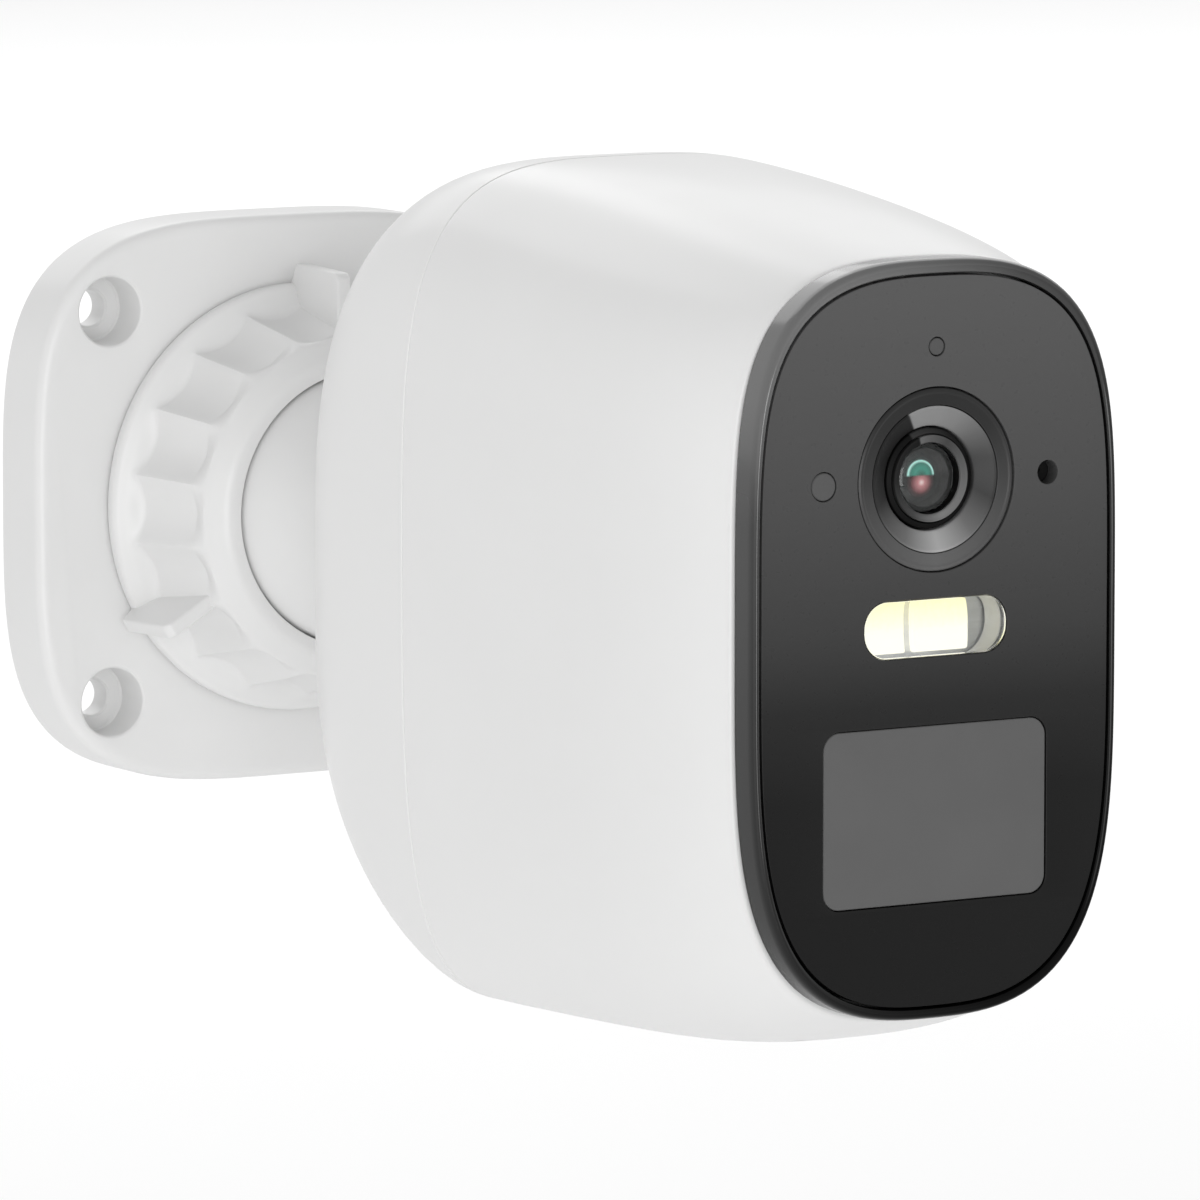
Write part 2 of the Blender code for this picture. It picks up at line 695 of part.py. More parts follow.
def sensor_stack():
    size = (22 * MM, 13 * MM, 18 * MM)
    holder = block("lens_holder", size, (0, FRONT_Y + 16.8 * MM, LENS_Z), "matt_black")
    bore = [(0, 9), (6.3, 9), (6.3, 18.4), (3.0, 18.4), (3.0, 24), (0, 24)]
    cutter = turned(
        "holder_bore_cutter",
        [(r * MM, -d * MM) for r, d in bore],
        (0, FRONT_Y, LENS_Z),
        FORWARD,
        steps=32,
    )
    slot_centre = (0, FRONT_Y + FILTER_DEPTH, LENS_Z)
    slot = block("filter_slot_cutter", (30 * MM, 1.8 * MM, 9.4 * MM), slot_centre)
    cut(holder, cutter, slot)
    filter_centre = (-3.0 * MM, FRONT_Y + FILTER_DEPTH, LENS_Z)
    block("ir_cut_filter", (13.0 * MM, 1.1 * MM, 8.6 * MM), filter_centre, "clear_glass")
    sensor_y = FRONT_Y + IMAGE_SENSOR_DEPTH
    block("image_sensor", (8 * MM, 1.2 * MM, 8 * MM), (0, sensor_y, LENS_Z), "matt_black")
    board = (0, sensor_y + 1.6 * MM, LENS_Z)
    block("sensor_board", (20 * MM, 1.2 * MM, 18 * MM), board, "board_green")


def floodlight_group():
    tray_outer = rounded_rectangle(10.6 * MM, 4.6 * MM, 3.6 * MM, 0, LIGHT_Z)
    tray_inner = rounded_rectangle(8.9 * MM, 3.1 * MM, 1.4 * MM, 0, LIGHT_Z)
    front = FRONT_Y + 2.6 * MM
    back = front + 3.7 * MM
    outline_object("floodlight_tray", [tray_outer, tray_inner], front, back, "reflector_white")
    for side, x in (("left", -LED_X), ("right", LED_X)):
        centre = (x, FRONT_Y + 5.9 * MM, LIGHT_Z)
        size = (6.4 * MM, 0.8 * MM, 5.4 * MM)
        block(f"floodlight_led_{side}", size, centre, "phosphor", 0.15 * MM)
    centre = (0, FRONT_Y + 7.2 * MM, LIGHT_Z)
    block("floodlight_board", (24 * MM, 1.2 * MM, 9 * MM), centre, "steel")


def sensors():
    can = [(0, 0), (4.6, 0), (4.6, 0.6), (4.1, 0.6), (4.1, 3.8), (3.6, 4.2), (0, 4.2)]
    can = [(r * MM, h * MM) for r, h in can]
    turned("pir_sensor", can, (0, FRONT_Y + 27.9 * MM, PIR_Z), FORWARD, "steel", 24)
    centre = (SENSOR_X, FRONT_Y + 4.4 * MM, LENS_Z)
    block("microphone", (3.8 * MM, 3.0 * MM, 3.0 * MM), centre, "steel")


def electronics():
    board_y = FRONT_Y + MAIN_BOARD_DEPTH
    block("main_board", (36 * MM, 1.6 * MM, 70 * MM), (0, board_y, -3.0 * MM), "board_green")
    shield = (-4 * MM, board_y + 2.6 * MM, 10 * MM)
    block("processor_shield", (20 * MM, 3.0 * MM, 20 * MM), shield, "steel", 0.3 * MM)
    card = (2 * MM, board_y + 2.0 * MM, -26 * MM)
    block("card_socket", (14 * MM, 1.6 * MM, 15 * MM), card, "steel")
    antenna = (0, FRONT_Y + 24 * MM, 36.0 * MM)
    block("wifi_antenna", (20 * MM, 8 * MM, 0.8 * MM), antenna, "board_green")
    cone = [(0, 0), (9, 0), (9, 3.0), (7.5, 4.2), (2.5, 3.4), (0, 3.0)]
    cone = [(r * MM, -h * MM) for r, h in cone]
    place = (0, FRONT_Y + SPEAKER_DEPTH, SPEAKER_Z)
    turned("speaker", cone, place, UPRIGHT, "matt_black", 24)


def frame_screw_places():
    return [(side * FRAME_SCREW_X, z) for side in (-1, 1) for z in FRAME_SCREW_Z]


def inner_frame():
    outlines = [egg(25.4 * MM, 41 * MM, 40 * MM, (3.2, 4.2, 3.2, 3.8), BODY_Z)]
    outlines.append(rounded_rectangle(9 * MM, 14 * MM, 2 * MM, 0, -2 * MM))
    outlines += [circle(1.5 * MM, x, z, 12) for x, z in frame_screw_places()]
    y = FRONT_Y + FRAME_DEPTH
    outline_object("inner_frame", outlines, y, y + 2.0 * MM, "matt_black")
    profile = [(0, 0), (2.6, 0), (2.6, 1.5), (1.2, 1.5), (1.2, 10), (0, 10)]
    profile = [(r * MM, h * MM) for r, h in profile]
    for i, (x, z) in enumerate(frame_screw_places(), 1):
        place = (x, y + 3.8 * MM, z)
        turned(f"frame_screw_{i}", profile, place, FORWARD, "steel", 12)


def battery():
    shoulder, height = 63.6 * MM, 65.0 * MM
    cell = [
        (0, 0),
        (CELL_RADIUS, 0),
        (CELL_RADIUS, shoulder),
        (4.0 * MM, shoulder + 0.4 * MM),
        (2.8 * MM, height),
        (0, height),
    ]
    for side, x in (("left", -CELL_X), ("right", CELL_X)):
        place = (x, FRONT_Y + BATTERY_DEPTH, CELL_BASE_Z)
        turned(f"battery_cell_{side}", cell, place, UPRIGHT, "cell_wrap", 24)
    centre = Vector((0, FRONT_Y + BATTERY_DEPTH + 0.8 * MM, -1.0 * MM))
    cradle = block("battery_cradle", (40.8 * MM, 21.2 * MM, 68.5 * MM), centre, "matt_black")
    hollow = centre - Vector((0, 2.0 * MM, 0))
    cut(cradle, block("cradle_cutter", (38.4 * MM, 22 * MM, 66 * MM), hollow))


# The port well on the underside


def port_well():
    board = (0, PORT_Y, -41.2 * MM)
    block("port_board", (28 * MM, 14 * MM, 1.2 * MM), board, "board_green")
    block("usb_socket", (9.0 * MM, 7.3 * MM, 4.2 * MM), (USB_X, PORT_Y, -44.2 * MM), "steel")
    size = (25.6 * MM, 11.4 * MM, 1.2 * MM)
    guide = block("button_guide", size, (0, PORT_Y, GUIDE_Z), "matt_black")
    cut(guide, block("usb_cutter", (9.6 * MM, 7.9 * MM, 6 * MM), (USB_X, PORT_Y, GUIDE_Z)))
    for name, x, radius in BUTTONS:
        hole_centre = (x, PORT_Y, GUIDE_Z)
        hole = rod(f"{name}_cutter", radius + GAP, 6 * MM, hole_centre, UPRIGHT, segments=20)
        cut(guide, hole)
        centre = (x, PORT_Y, -45.1 * MM)
        rod(f"{name}_button", radius, 4.6 * MM, centre, UPRIGHT, "rubber_grey", 20)


def port_flap():
    """Closes the well flush: its underside follows the shell, a little inside it."""
    height = 4.0 * MM
    size = (PORT_HALF_WIDTH * 2 - 0.8 * MM, PORT_LENGTH - 0.8 * MM, height)
    flap = block("port_flap", size, (0, PORT_Y, PORT_FLAP_TOP - height / 2), "rubber_grey")
    bm = bmesh.new()
    rings = [
        ring_of(bm, shell_outline(depth, FLAP_INSET), FRONT_Y + depth)
        for depth in SHELL_DEPTHS[2:5]
    ]
    for first, second in zip(rings, rings[1:]):
        bridge(bm, first, second)
    bm.faces.new(rings[0])
    bm.faces.new(rings[-1])
    combine(flap, mesh_object("flap_form", bm), "INTERSECT")


def mount_insert():
    profile = [(3.5, 0), (5.0, 0), (5.0, 9.0), (3.5, 9.0)]
    profile = [(r * MM, h * MM) for r, h in profile]
    place = (0, FRONT_Y + REAR_DEPTH - GAP - 9.0 * MM, 0)
    turn = Matrix.Rotation(math.radians(-90), 4, "X")
    turned("mount_insert", profile, place, turn, "brass", 24)


def build():
    clear_scene()
    wall_plate()
    friction_cup()
    clamp_ring()
    locking_collar()
    ball_stud()
    stud_screw()
    mount_insert()
    main_shell()
    rear_cap()
    body_seal()
    front_bezel()
    front_seal()
    front_panel()
    windows()
    lens_group()
    sensor_stack()
    floodlight_group()
    sensors()
    electronics()
    inner_frame()
    battery()
    port_well()
    port_flap()


build()
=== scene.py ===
"""Looks of the floodlight security camera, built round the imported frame.

Every place is in the row frame: the wall is y = 0, the camera looks along -Y, +Z is up.
Sizes below are in millimetres and become metres where a mesh is made.
"""

import json
import math

import bmesh
import bpy
import numpy as np
from mathutils import Matrix, Vector


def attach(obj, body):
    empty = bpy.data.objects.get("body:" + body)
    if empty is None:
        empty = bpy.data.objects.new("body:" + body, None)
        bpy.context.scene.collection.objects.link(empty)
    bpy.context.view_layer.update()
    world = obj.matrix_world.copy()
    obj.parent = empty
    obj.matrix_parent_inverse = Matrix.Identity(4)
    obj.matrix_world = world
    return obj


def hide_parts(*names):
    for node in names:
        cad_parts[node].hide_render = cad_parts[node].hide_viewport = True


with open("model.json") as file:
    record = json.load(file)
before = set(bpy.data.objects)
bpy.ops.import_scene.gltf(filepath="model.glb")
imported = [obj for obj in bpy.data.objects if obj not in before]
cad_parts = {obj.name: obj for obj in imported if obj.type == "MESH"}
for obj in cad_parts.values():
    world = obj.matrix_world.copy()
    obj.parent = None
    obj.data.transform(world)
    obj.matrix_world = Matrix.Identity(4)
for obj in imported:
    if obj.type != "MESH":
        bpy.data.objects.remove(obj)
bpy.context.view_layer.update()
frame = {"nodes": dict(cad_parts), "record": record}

MM = 0.001

# Sizes shared with the CAD design
FRONT_Y = -148.0
BEZEL_DEPTH = 3.8
SEAM_DEPTH = 62.7
REAR_DEPTH = 96.6
WALL = 2.2
LENS_Z = 15.0
FACE_Z = -1.6
BODY_Z = -1.9
BEZEL_SIZES = (23.1, 40.2, 41.5)
PANEL_SIZES = (21.95, 38.35, 40.0)
PANEL_GAP = 0.24
SHELL_FRONT = (23.4, 40.4, 41.65)
SHELL_SEAM = (29.5, 47.3, 46.87)
SHELL_BELLY = (0.0, 0.0, 1.2)
SHELL_EASE = (5.0, 1.7, 3.7)
FRONT_POWERS = (2.8, 4.6, 2.8, 3.8)
SEAM_POWERS = (3.6, 4.0, 6.2, 2.9)
POWER_EASE = 4.0
CAP_LENGTH = 33.5
CAP_POWERS = (3.6, 2.8, 1.7)
CAP_DROP = -6.2
PLATE_SIZES = (34.3, 33.4)
PLATE_THICKNESS = 9.0
PLATE_POWER = 3.6
SCREW_X = 24.5
SCREW_Z = 23.0
BALL_RADIUS = 16.6
BALL_Y = -(PLATE_THICKNESS + 11.3)
NECK_RADIUS = 6.0
COLLAR_POSITIONS = 18
COLLAR_RIB_ANGLES = (90, 210, 330)
PIR_Z = LENS_Z - 35.9
PIR_HALF = (14.2, 9.63)
LIGHT_Z = LENS_Z - 15.84
LIGHT_HALF = (9.1, 3.15)
STATUS_Z = LENS_Z + 14.2
SENSOR_X = 14.2
PORT_Y = FRONT_Y + 45.0
PORT_HALF_WIDTH = 13.2
PORT_LENGTH = 12.6
PORT_FLOOR_Z = -49.9
PORT_FLAP_TOP = -47.7
SCREW_HOLE_RADIUS = 2.15
SCREW_HEAD_RADIUS = 4.0
FLUTE_DEPTH = 1.45
FLUTE_STEPS = 24
RIB_THICKNESS = 1.8
SOCKET_CLEARANCE = 1.3
GRILLE_SLOTS = 5
GRILLE_PITCH = 3.0
CHIP_SIZE = (6.4, 0.8, 5.4)
CHIP_X = 3.7

# View, in degrees and mm from the lens
VIEW_AZIMUTH = -31.24
VIEW_ELEVATION = 7.01
VIEW_DISTANCE = 1062.7
VIEW_ASIDE = 35.95
VIEW_ABOVE = 12.77
VIEW_FOCAL_LENGTH = 300.0

# Studio, in metres and light strengths
FLOOR_HALF_SIZE = 20.0
FLOOR_Z = -0.6
SKY_LOW = 0.88
SKY_HIGH = 0.46


# Materials


class Nodes:
    """A small helper that adds nodes to one material and links them."""

    def __init__(self, name):
        self.material = bpy.data.materials.new(name)
        self.material.use_nodes = True
        self.tree = self.material.node_tree
        self.shader = self.tree.nodes["Principled BSDF"]
        self.place = self.add("ShaderNodeTexCoord").outputs["Object"]

    def add(self, kind, **settings):
        node = self.tree.nodes.new(kind)
        for key, value in settings.items():
            if hasattr(node, key):
                setattr(node, key, value)
            else:
                node.inputs[key.replace("_", " ").title()].default_value = value
        return node

    def link(self, source, target):
        self.tree.links.new(source, target)

    def set(self, **values):
        for key, value in values.items():
            socket = self.shader.inputs[key.replace("_", " ")]
            socket.default_value = (*value, 1.0) if isinstance(value, tuple) else value

    def noise(self, scale, detail=2.0, roughness=0.5):
        node = self.add("ShaderNodeTexNoise", scale=scale, detail=detail, roughness=roughness)
        self.link(self.place, node.inputs["Vector"])
        return node.outputs["Fac"]

    def ramp(self, value, *stops):
        node = self.add("ShaderNodeValToRGB")
        elements = node.color_ramp.elements
        while len(elements) < len(stops):
            elements.new(0.5)
        for element, (position, colour) in zip(elements, stops):
            element.position = position
            element.color = (*colour, 1.0)
        self.link(value, node.inputs["Fac"])
        return node.outputs["Color"]

    def spread(self, value, low, high):
        """A 0 to 1 value carried to another range."""
        node = self.add("ShaderNodeMapRange")
        node.inputs["To Min"].default_value = low
        node.inputs["To Max"].default_value = high
        self.link(value, node.inputs["Value"])
        return node.outputs["Result"]

    def between(self, value, low, high):
        """How far a value is from low (0) to high (1)."""
        node = self.add("ShaderNodeMapRange")
        node.inputs["From Min"].default_value = low
        node.inputs["From Max"].default_value = high
        self.link(value, node.inputs["Value"])
        return node.outputs["Result"]

    def grain(self, height_value, distance):
        """A bump whose full height is a distance in metres."""
        node = self.add("ShaderNodeBump")
        node.inputs["Distance"].default_value = distance
        node.inputs["Strength"].default_value = 1.0
        self.link(height_value, node.inputs["Height"])
        self.link(node.outputs["Normal"], self.shader.inputs["Normal"])

    def axis(self, name):
        node = self.add("ShaderNodeSeparateXYZ")
        self.link(self.place, node.inputs["Vector"])
        return node.outputs[name]


def greys(stops):
    """Ramp stops as colours, from (position, grey level) pairs."""
    return [(position, (level,) * 3) for position, level in stops]


def varied(colour, amount):
    """A colour made darker and lighter by a share of itself."""
    return tuple(c * (1 - amount) for c in colour), tuple(min(1.0, c * (1 + amount)) for c in colour)


def moulded(name, colour, roughness, grain_mm=0.35, grain_height=0.008, vary=0.012, level=0.5, coat=0.0):
    """Moulded plastic or rubber: a fine spark-eroded grain and faint tone changes."""
    m = Nodes(name)
    dark, light = varied(colour, vary)
    broad = m.noise(60.0, 3.0)
    m.link(m.ramp(broad, (0.3, dark), (0.7, light)), m.shader.inputs["Base Color"])
    uneven = m.spread(m.noise(240.0, 3.0), roughness - 0.04, roughness + 0.04)
    m.link(uneven, m.shader.inputs["Roughness"])
    m.set(Specular_IOR_Level=level, Coat_Weight=coat, Coat_Roughness=0.2)
    m.grain(m.noise(1 / (grain_mm * MM), 2.0, 0.6), grain_height * MM)
    return m.material


def metal(name, colour, roughness, brushed_axis=None):
    """Plated or turned metal with fine tool marks."""
    m = Nodes(name)
    dark, light = varied(colour, 0.06)
    stretch = m.add("ShaderNodeMapping")
    scale = [1.0, 1.0, 1.0]
    if brushed_axis is not None:
        scale[brushed_axis] = 0.03
    stretch.inputs["Scale"].default_value = scale
    m.link(m.place, stretch.inputs["Vector"])
    marks = m.add("ShaderNodeTexNoise", scale=3000.0, detail=3.0)
    m.link(stretch.outputs["Vector"], marks.inputs["Vector"])
    m.link(m.ramp(marks.outputs["Fac"], (0.3, dark), (0.7, light)), m.shader.inputs["Base Color"])
    uneven = m.spread(marks.outputs["Fac"], roughness - 0.08, roughness + 0.08)
    m.link(uneven, m.shader.inputs["Roughness"])
    m.set(Metallic=1.0)
    m.grain(marks.outputs["Fac"], 0.004 * MM)
    return m.material


def glass(name, colour, level=0.5):
    """Clear moulded or polished glass, with the faintest unevenness in its polish."""
    m = Nodes(name)
    dark, light = varied(colour, 0.01)
    m.link(m.ramp(m.noise(150.0), (0.3, dark), (0.7, light)), m.shader.inputs["Base Color"])
    m.link(m.spread(m.noise(500.0), 0.02, 0.04), m.shader.inputs["Roughness"])
    m.set(Transmission_Weight=1.0, IOR=1.5, Specular_IOR_Level=level)
    return m.material


def face_material():
    """The dark face plate with a painted reflection: its tone falls from grey at the top to near black at
    the bottom.
    """
    m = Nodes("face_dark_painted_reflection")
    height = m.between(m.axis("Z"), (FACE_Z - 41.0) * MM, (FACE_Z + 39.0) * MM)
    # painted reflection: grey levels from the bottom (0) to the top (1) of the face
    stops = ((0.0, 0.004), (0.3, 0.007), (0.42, 0.018), (0.52, 0.044), (0.7, 0.07), (1.0, 0.1))
    m.link(m.ramp(height, *greys(stops)), m.shader.inputs["Base Color"])
    m.link(m.spread(m.noise(900.0, 2.0), 0.26, 0.3), m.shader.inputs["Roughness"])
    m.set(Specular_IOR_Level=0.22)
    m.grain(m.noise(1600.0, 2.0), 0.0006 * MM)
    return m.material


def gloss_material():
    """The polished black frame with a painted highlight: lighter and shinier towards its upper corner on
    the -X side.
    """
    m = Nodes("gloss_black")
    highlight_side = m.add("ShaderNodeVectorMath", operation="DOT_PRODUCT")
    highlight_side.inputs[1].default_value = (-0.6, 0.0, 0.8)
    m.link(m.place, highlight_side.inputs[0])
    height = m.between(highlight_side.outputs["Value"], -38.0 * MM, 38.0 * MM)
    # painted highlight: base tone rising towards the upper corner on the -X side
    stops = ((0.0, 0.002), (0.6, 0.006), (0.8, 0.02), (0.93, 0.1), (1.0, 0.13))
    m.link(m.ramp(height, *greys(stops)), m.shader.inputs["Base Color"])
    # painted sheen: specular level rising the same way, so the lower frame reflects less
    m.link(m.spread(height, 0.1, 1.0), m.shader.inputs["Specular IOR Level"])
    m.link(m.spread(m.noise(300.0), 0.12, 0.16), m.shader.inputs["Roughness"])
    m.grain(m.noise(2000.0), 0.0004 * MM)
    return m.material


def window_material(name, level, height_mm=0.002, scale=700.0):
    """Smoked infrared window: matt, even grey with a slight mould texture."""
    m = Nodes(name)
    dark, light = varied((level,) * 3, 0.03)
    m.link(m.ramp(m.noise(120.0), (0.3, dark), (0.7, light)), m.shader.inputs["Base Color"])
    m.link(m.spread(m.noise(600.0), 0.42, 0.5), m.shader.inputs["Roughness"])
    m.set(Specular_IOR_Level=0.25)
    m.grain(m.noise(scale, 2.0), height_mm * MM)
    return m.material


def turning_ramp(m, stops, centre=(0.0, 0.0)):
    """Tone by angle round a point near the lens axis, in degrees from +X towards +Z, used for painted
    reflections.
    """
    split = m.add("ShaderNodeSeparateXYZ")
    m.link(m.place, split.inputs["Vector"])
    lift = m.add("ShaderNodeMath", operation="SUBTRACT")
    lift.inputs[1].default_value = (LENS_Z + centre[1]) * MM
    m.link(split.outputs["Z"], lift.inputs[0])
    aside = m.add("ShaderNodeMath", operation="SUBTRACT")
    aside.inputs[1].default_value = centre[0] * MM
    m.link(split.outputs["X"], aside.inputs[0])
    turn = m.add("ShaderNodeMath", operation="ARCTAN2")
    m.link(lift.outputs[0], turn.inputs[0])
    m.link(aside.outputs[0], turn.inputs[1])
    share = m.between(turn.outputs[0], -math.pi, math.pi)
    return m.ramp(share, *greys(((degrees + 180) / 360, tone) for degrees, tone in stops))


def turned_black(name, stops, roughness, level, centre=(0.0, 0.0)):
    """Turned black metal with painted reflections: light and dark fans set by angle round the lens."""
    m = Nodes(name)
    m.link(turning_ramp(m, stops, centre), m.shader.inputs["Base Color"])
    m.link(m.spread(m.noise(1800.0), roughness - 0.04, roughness + 0.04), m.shader.inputs["Roughness"])
    m.set(Specular_IOR_Level=level)
    m.grain(m.noise(2500.0), 0.0006 * MM)
    return m.material


def painted_coating_reflection_material():
    """Lens coating with painted reflections: a green half disc above the axis and a pink one below, with
    painted highlights, both given a faint painted glow.
    """
    m = Nodes("lens_coating_painted_reflection")
    # painted reflection: green disc with a bright painted highlight arc near its edge
    green_reflection_stops = (
        (0.0, (0.01, 0.1, 0.07)),
        (0.4, (0.03, 0.3, 0.22)),
        (0.66, (0.02, 0.2, 0.15)),
        (0.78, (0.6, 1.0, 0.92)),
        (0.86, (0.004, 0.02, 0.016)),
        (1.0, (0.002, 0.004, 0.004)),
    )
    # painted reflection: pink disc with a painted highlight at its centre
    pink_reflection_stops = (
        (0.0, (1.0, 0.8, 0.8)),
        (0.25, (0.6, 0.25, 0.26)),
        (0.6, (0.22, 0.06, 0.07)),
        (0.75, (0.05, 0.012, 0.014)),
        (1.0, (0.002, 0.004, 0.004)),
    )
    tones = []
    for height, reach, stops in ((0.15, 1.87, green_reflection_stops), (-0.55, 1.6, pink_reflection_stops)):
        spread = m.add("ShaderNodeVectorMath", operation="DISTANCE")
        m.link(m.place, spread.inputs[0])
        spread.inputs[1].default_value = (0.0, (FRONT_Y + 3.7) * MM, (LENS_Z + height) * MM)
        tones.append(m.ramp(m.between(spread.outputs["Value"], 0.0, reach * MM), *stops))
    side = m.between(m.axis("Z"), (LENS_Z + 0.05) * MM, (LENS_Z + 0.25) * MM)
    mix = m.add("ShaderNodeMix", data_type="RGBA")
    m.link(side, mix.inputs["Factor"])
    m.link(tones[1], mix.inputs[6])
    m.link(tones[0], mix.inputs[7])
    m.link(mix.outputs[2], m.shader.inputs["Base Color"])
    m.link(mix.outputs[2], m.shader.inputs["Emission Color"])
    m.link(m.spread(m.noise(900.0), 0.12, 0.16), m.shader.inputs["Roughness"])
    # painted glow: the coating's colours also given as emission
    m.set(Emission_Strength=0.3, Specular_IOR_Level=0.2)
    return m.material


def phosphor_material():
    """Lit yellow phosphor under silicone."""
    m = Nodes("phosphor_lit")
    spots = m.noise(2200.0, 3.0)
    dull = m.ramp(spots, (0.3, (0.34, 0.28, 0.08)), (0.7, (0.4, 0.35, 0.14)))
    m.link(dull, m.shader.inputs["Base Color"])
    height = m.between(m.axis("Z"), (LIGHT_Z - 2.7) * MM, (LIGHT_Z + 2.7) * MM)
    white, cream, yellow = (1.0, 1.0, 0.94), (1.0, 0.98, 0.72), (0.98, 0.9, 0.42)
    glow = m.ramp(height, (0.3, white), (0.6, cream), (1.0, yellow))
    m.link(glow, m.shader.inputs["Emission Color"])
    m.set(Emission_Strength=1.0, Roughness=0.5)
    m.grain(spots, 0.01 * MM)
    return m.material


def board_material():
    """Solder mask with faint copper runs under it."""
    m = Nodes("board_green")
    runs = m.add("ShaderNodeTexBrick", scale=350.0)
    runs.inputs["Color1"].default_value = (0.01, 0.12, 0.05, 1.0)
    runs.inputs["Color2"].default_value = (0.012, 0.15, 0.06, 1.0)
    runs.inputs["Mortar"].default_value = (0.02, 0.22, 0.1, 1.0)
    m.link(m.place, runs.inputs["Vector"])
    m.link(runs.outputs["Color"], m.shader.inputs["Base Color"])
    m.link(m.spread(m.noise(800.0), 0.3, 0.42), m.shader.inputs["Roughness"])
    m.grain(runs.outputs["Fac"], 0.01 * MM)
    return m.material


# Painted reflections on the turned lens parts: grey levels by angle in degrees round the lens, from +X
# towards +Z, with hard-edged light fans
CONE_REFLECTION_STOPS = (
    (-180, 0.014),
    (-150, 0.03),
    (-118, 0.16),
    (-92, 0.42),
    (-64, 0.16),
    (-35, 0.04),
    (0, 0.06),
    (30, 0.13),
    (60, 0.21),
    (90, 0.25),
    (129, 0.27),
    (131, 0.012),
    (180, 0.014),
)
# painted reflection on the hood: one light fan with a hard edge, the rest near black
HOOD_REFLECTION_STOPS = (
    (-180, 0.004),
    (20, 0.004),
    (60, 0.012),
    (95, 0.03),
    (116, 0.04),
    (118, 0.004),
    (180, 0.004),
)
# painted reflection on the trim band: lightest at the bottom
BAND_REFLECTION_STOPS = (
    (-180, 0.03),
    (-90, 0.11),
    (0, 0.04),
    (40, 0.014),
    (90, 0.01),
    (140, 0.012),
    (180, 0.03),
)
# painted reflection on the retaining ring: light fans with a hard edge
RING_REFLECTION_STOPS = (
    (-180, 0.02),
    (-120, 0.06),
    (-70, 0.2),
    (-10, 0.14),
    (60, 0.06),
    (95, 0.11),
    (107, 0.14),
    (109, 0.01),
    (180, 0.02),
)
MATERIALS = {
    "shell_white": moulded("shell_white", (0.8, 0.8, 0.797), 0.34, 0.3, 0.003, 0.006, coat=0.3),
    "mount_white": moulded("mount_white", (0.79, 0.79, 0.787), 0.36, 0.4, 0.004, 0.008, coat=0.2),
    "gloss_black": gloss_material(),
    "panel_dark": face_material(),
    "matt_black": moulded("matt_black", (0.01, 0.01, 0.01), 0.5, 0.3, 0.006, 0.1, 0.3),
    "window_grey": window_material("window_grey", 0.115),
    "sensor_grey": window_material("sensor_grey", 0.095, 0.03, 1500.0),
    "clear_glass": glass("clear_glass", (0.97, 0.98, 0.98)),
    "lens_front": glass("lens_front", (0.93, 0.96, 0.95), level=0.02),
    "reflector_white": moulded("reflector_white", (0.8, 0.8, 0.8), 0.35, 0.5, 0.002),
    "phosphor": phosphor_material(),
    "board_green": board_material(),
    "steel": metal("steel", (0.56, 0.56, 0.58), 0.3),
    "aluminium": metal("aluminium", (0.66, 0.67, 0.69), 0.35, 0),
    "brass": metal("brass", (0.72, 0.5, 0.2), 0.28),
    "rubber_grey": moulded("rubber_grey", (0.3, 0.3, 0.305), 0.7, 0.5, 0.01, 0.03, 0.3),
    "rubber_black": moulded("rubber_black", (0.01, 0.01, 0.01), 0.7, 0.5, 0.01, 0.1, 0.2),
    "nylon": moulded("nylon", (0.72, 0.72, 0.68), 0.45, 0.4, 0.006),
    "cell_wrap": moulded("cell_wrap", (0.02, 0.11, 0.3), 0.3, 0.8, 0.004, 0.05),
    "lens_hood": turned_black("lens_hood", HOOD_REFLECTION_STOPS, 0.45, 0.1),
    "lens_cone": turned_black("lens_cone", CONE_REFLECTION_STOPS, 0.35, 0.15, (0.87, 2.0)),
    "lens_band": turned_black("lens_band", BAND_REFLECTION_STOPS, 0.3, 0.4),
    "lens_ring": turned_black("lens_ring", RING_REFLECTION_STOPS, 0.35, 0.06),
    "lens_coating_painted_reflection": painted_coating_reflection_material(),
}


# Mesh helpers


def smooth(obj, angle=32):
    obj.data.shade_smooth()
    obj.data.set_sharp_from_angle(angle=math.radians(angle))
    return obj


def new_piece(name, mesh, material):
    obj = bpy.data.objects.new(name, mesh)
    obj.data.materials.append(MATERIALS[material])
    bpy.context.scene.collection.objects.link(obj)
    return obj


def mesh_from(name, bm, material, angle=32):
    bmesh.ops.recalc_face_normals(bm, faces=bm.faces)
    mesh = bpy.data.meshes.new(name)
    bm.to_mesh(mesh)
    bm.free()
    return smooth(new_piece(name, mesh, material), angle)


def loft(name, rings, material, wrap=False, cap_ends=True):
    """Rings of (x, y, z) points in mm, joined in order into one skin."""
    count = len(rings[0])
    points = np.concatenate(rings) * MM
    faces = []
    last = len(rings) if wrap else len(rings) - 1
    for r in range(last):
        a, b = r * count, ((r + 1) % len(rings)) * count
        faces += [(a + i, a + (i + 1) % count, b + (i + 1) % count, b + i) for i in range(count)]
    if cap_ends and not wrap:
        faces.append(tuple(range(count)))
        faces.append(tuple(range((len(rings) - 1) * count, len(rings) * count)))
    mesh = bpy.data.meshes.new(name)
    mesh.from_pydata(points.tolist(), [], faces)
    bm = bmesh.new()
    bm.from_mesh(mesh)
    bpy.data.meshes.remove(mesh)
    return mesh_from(name, bm, material)


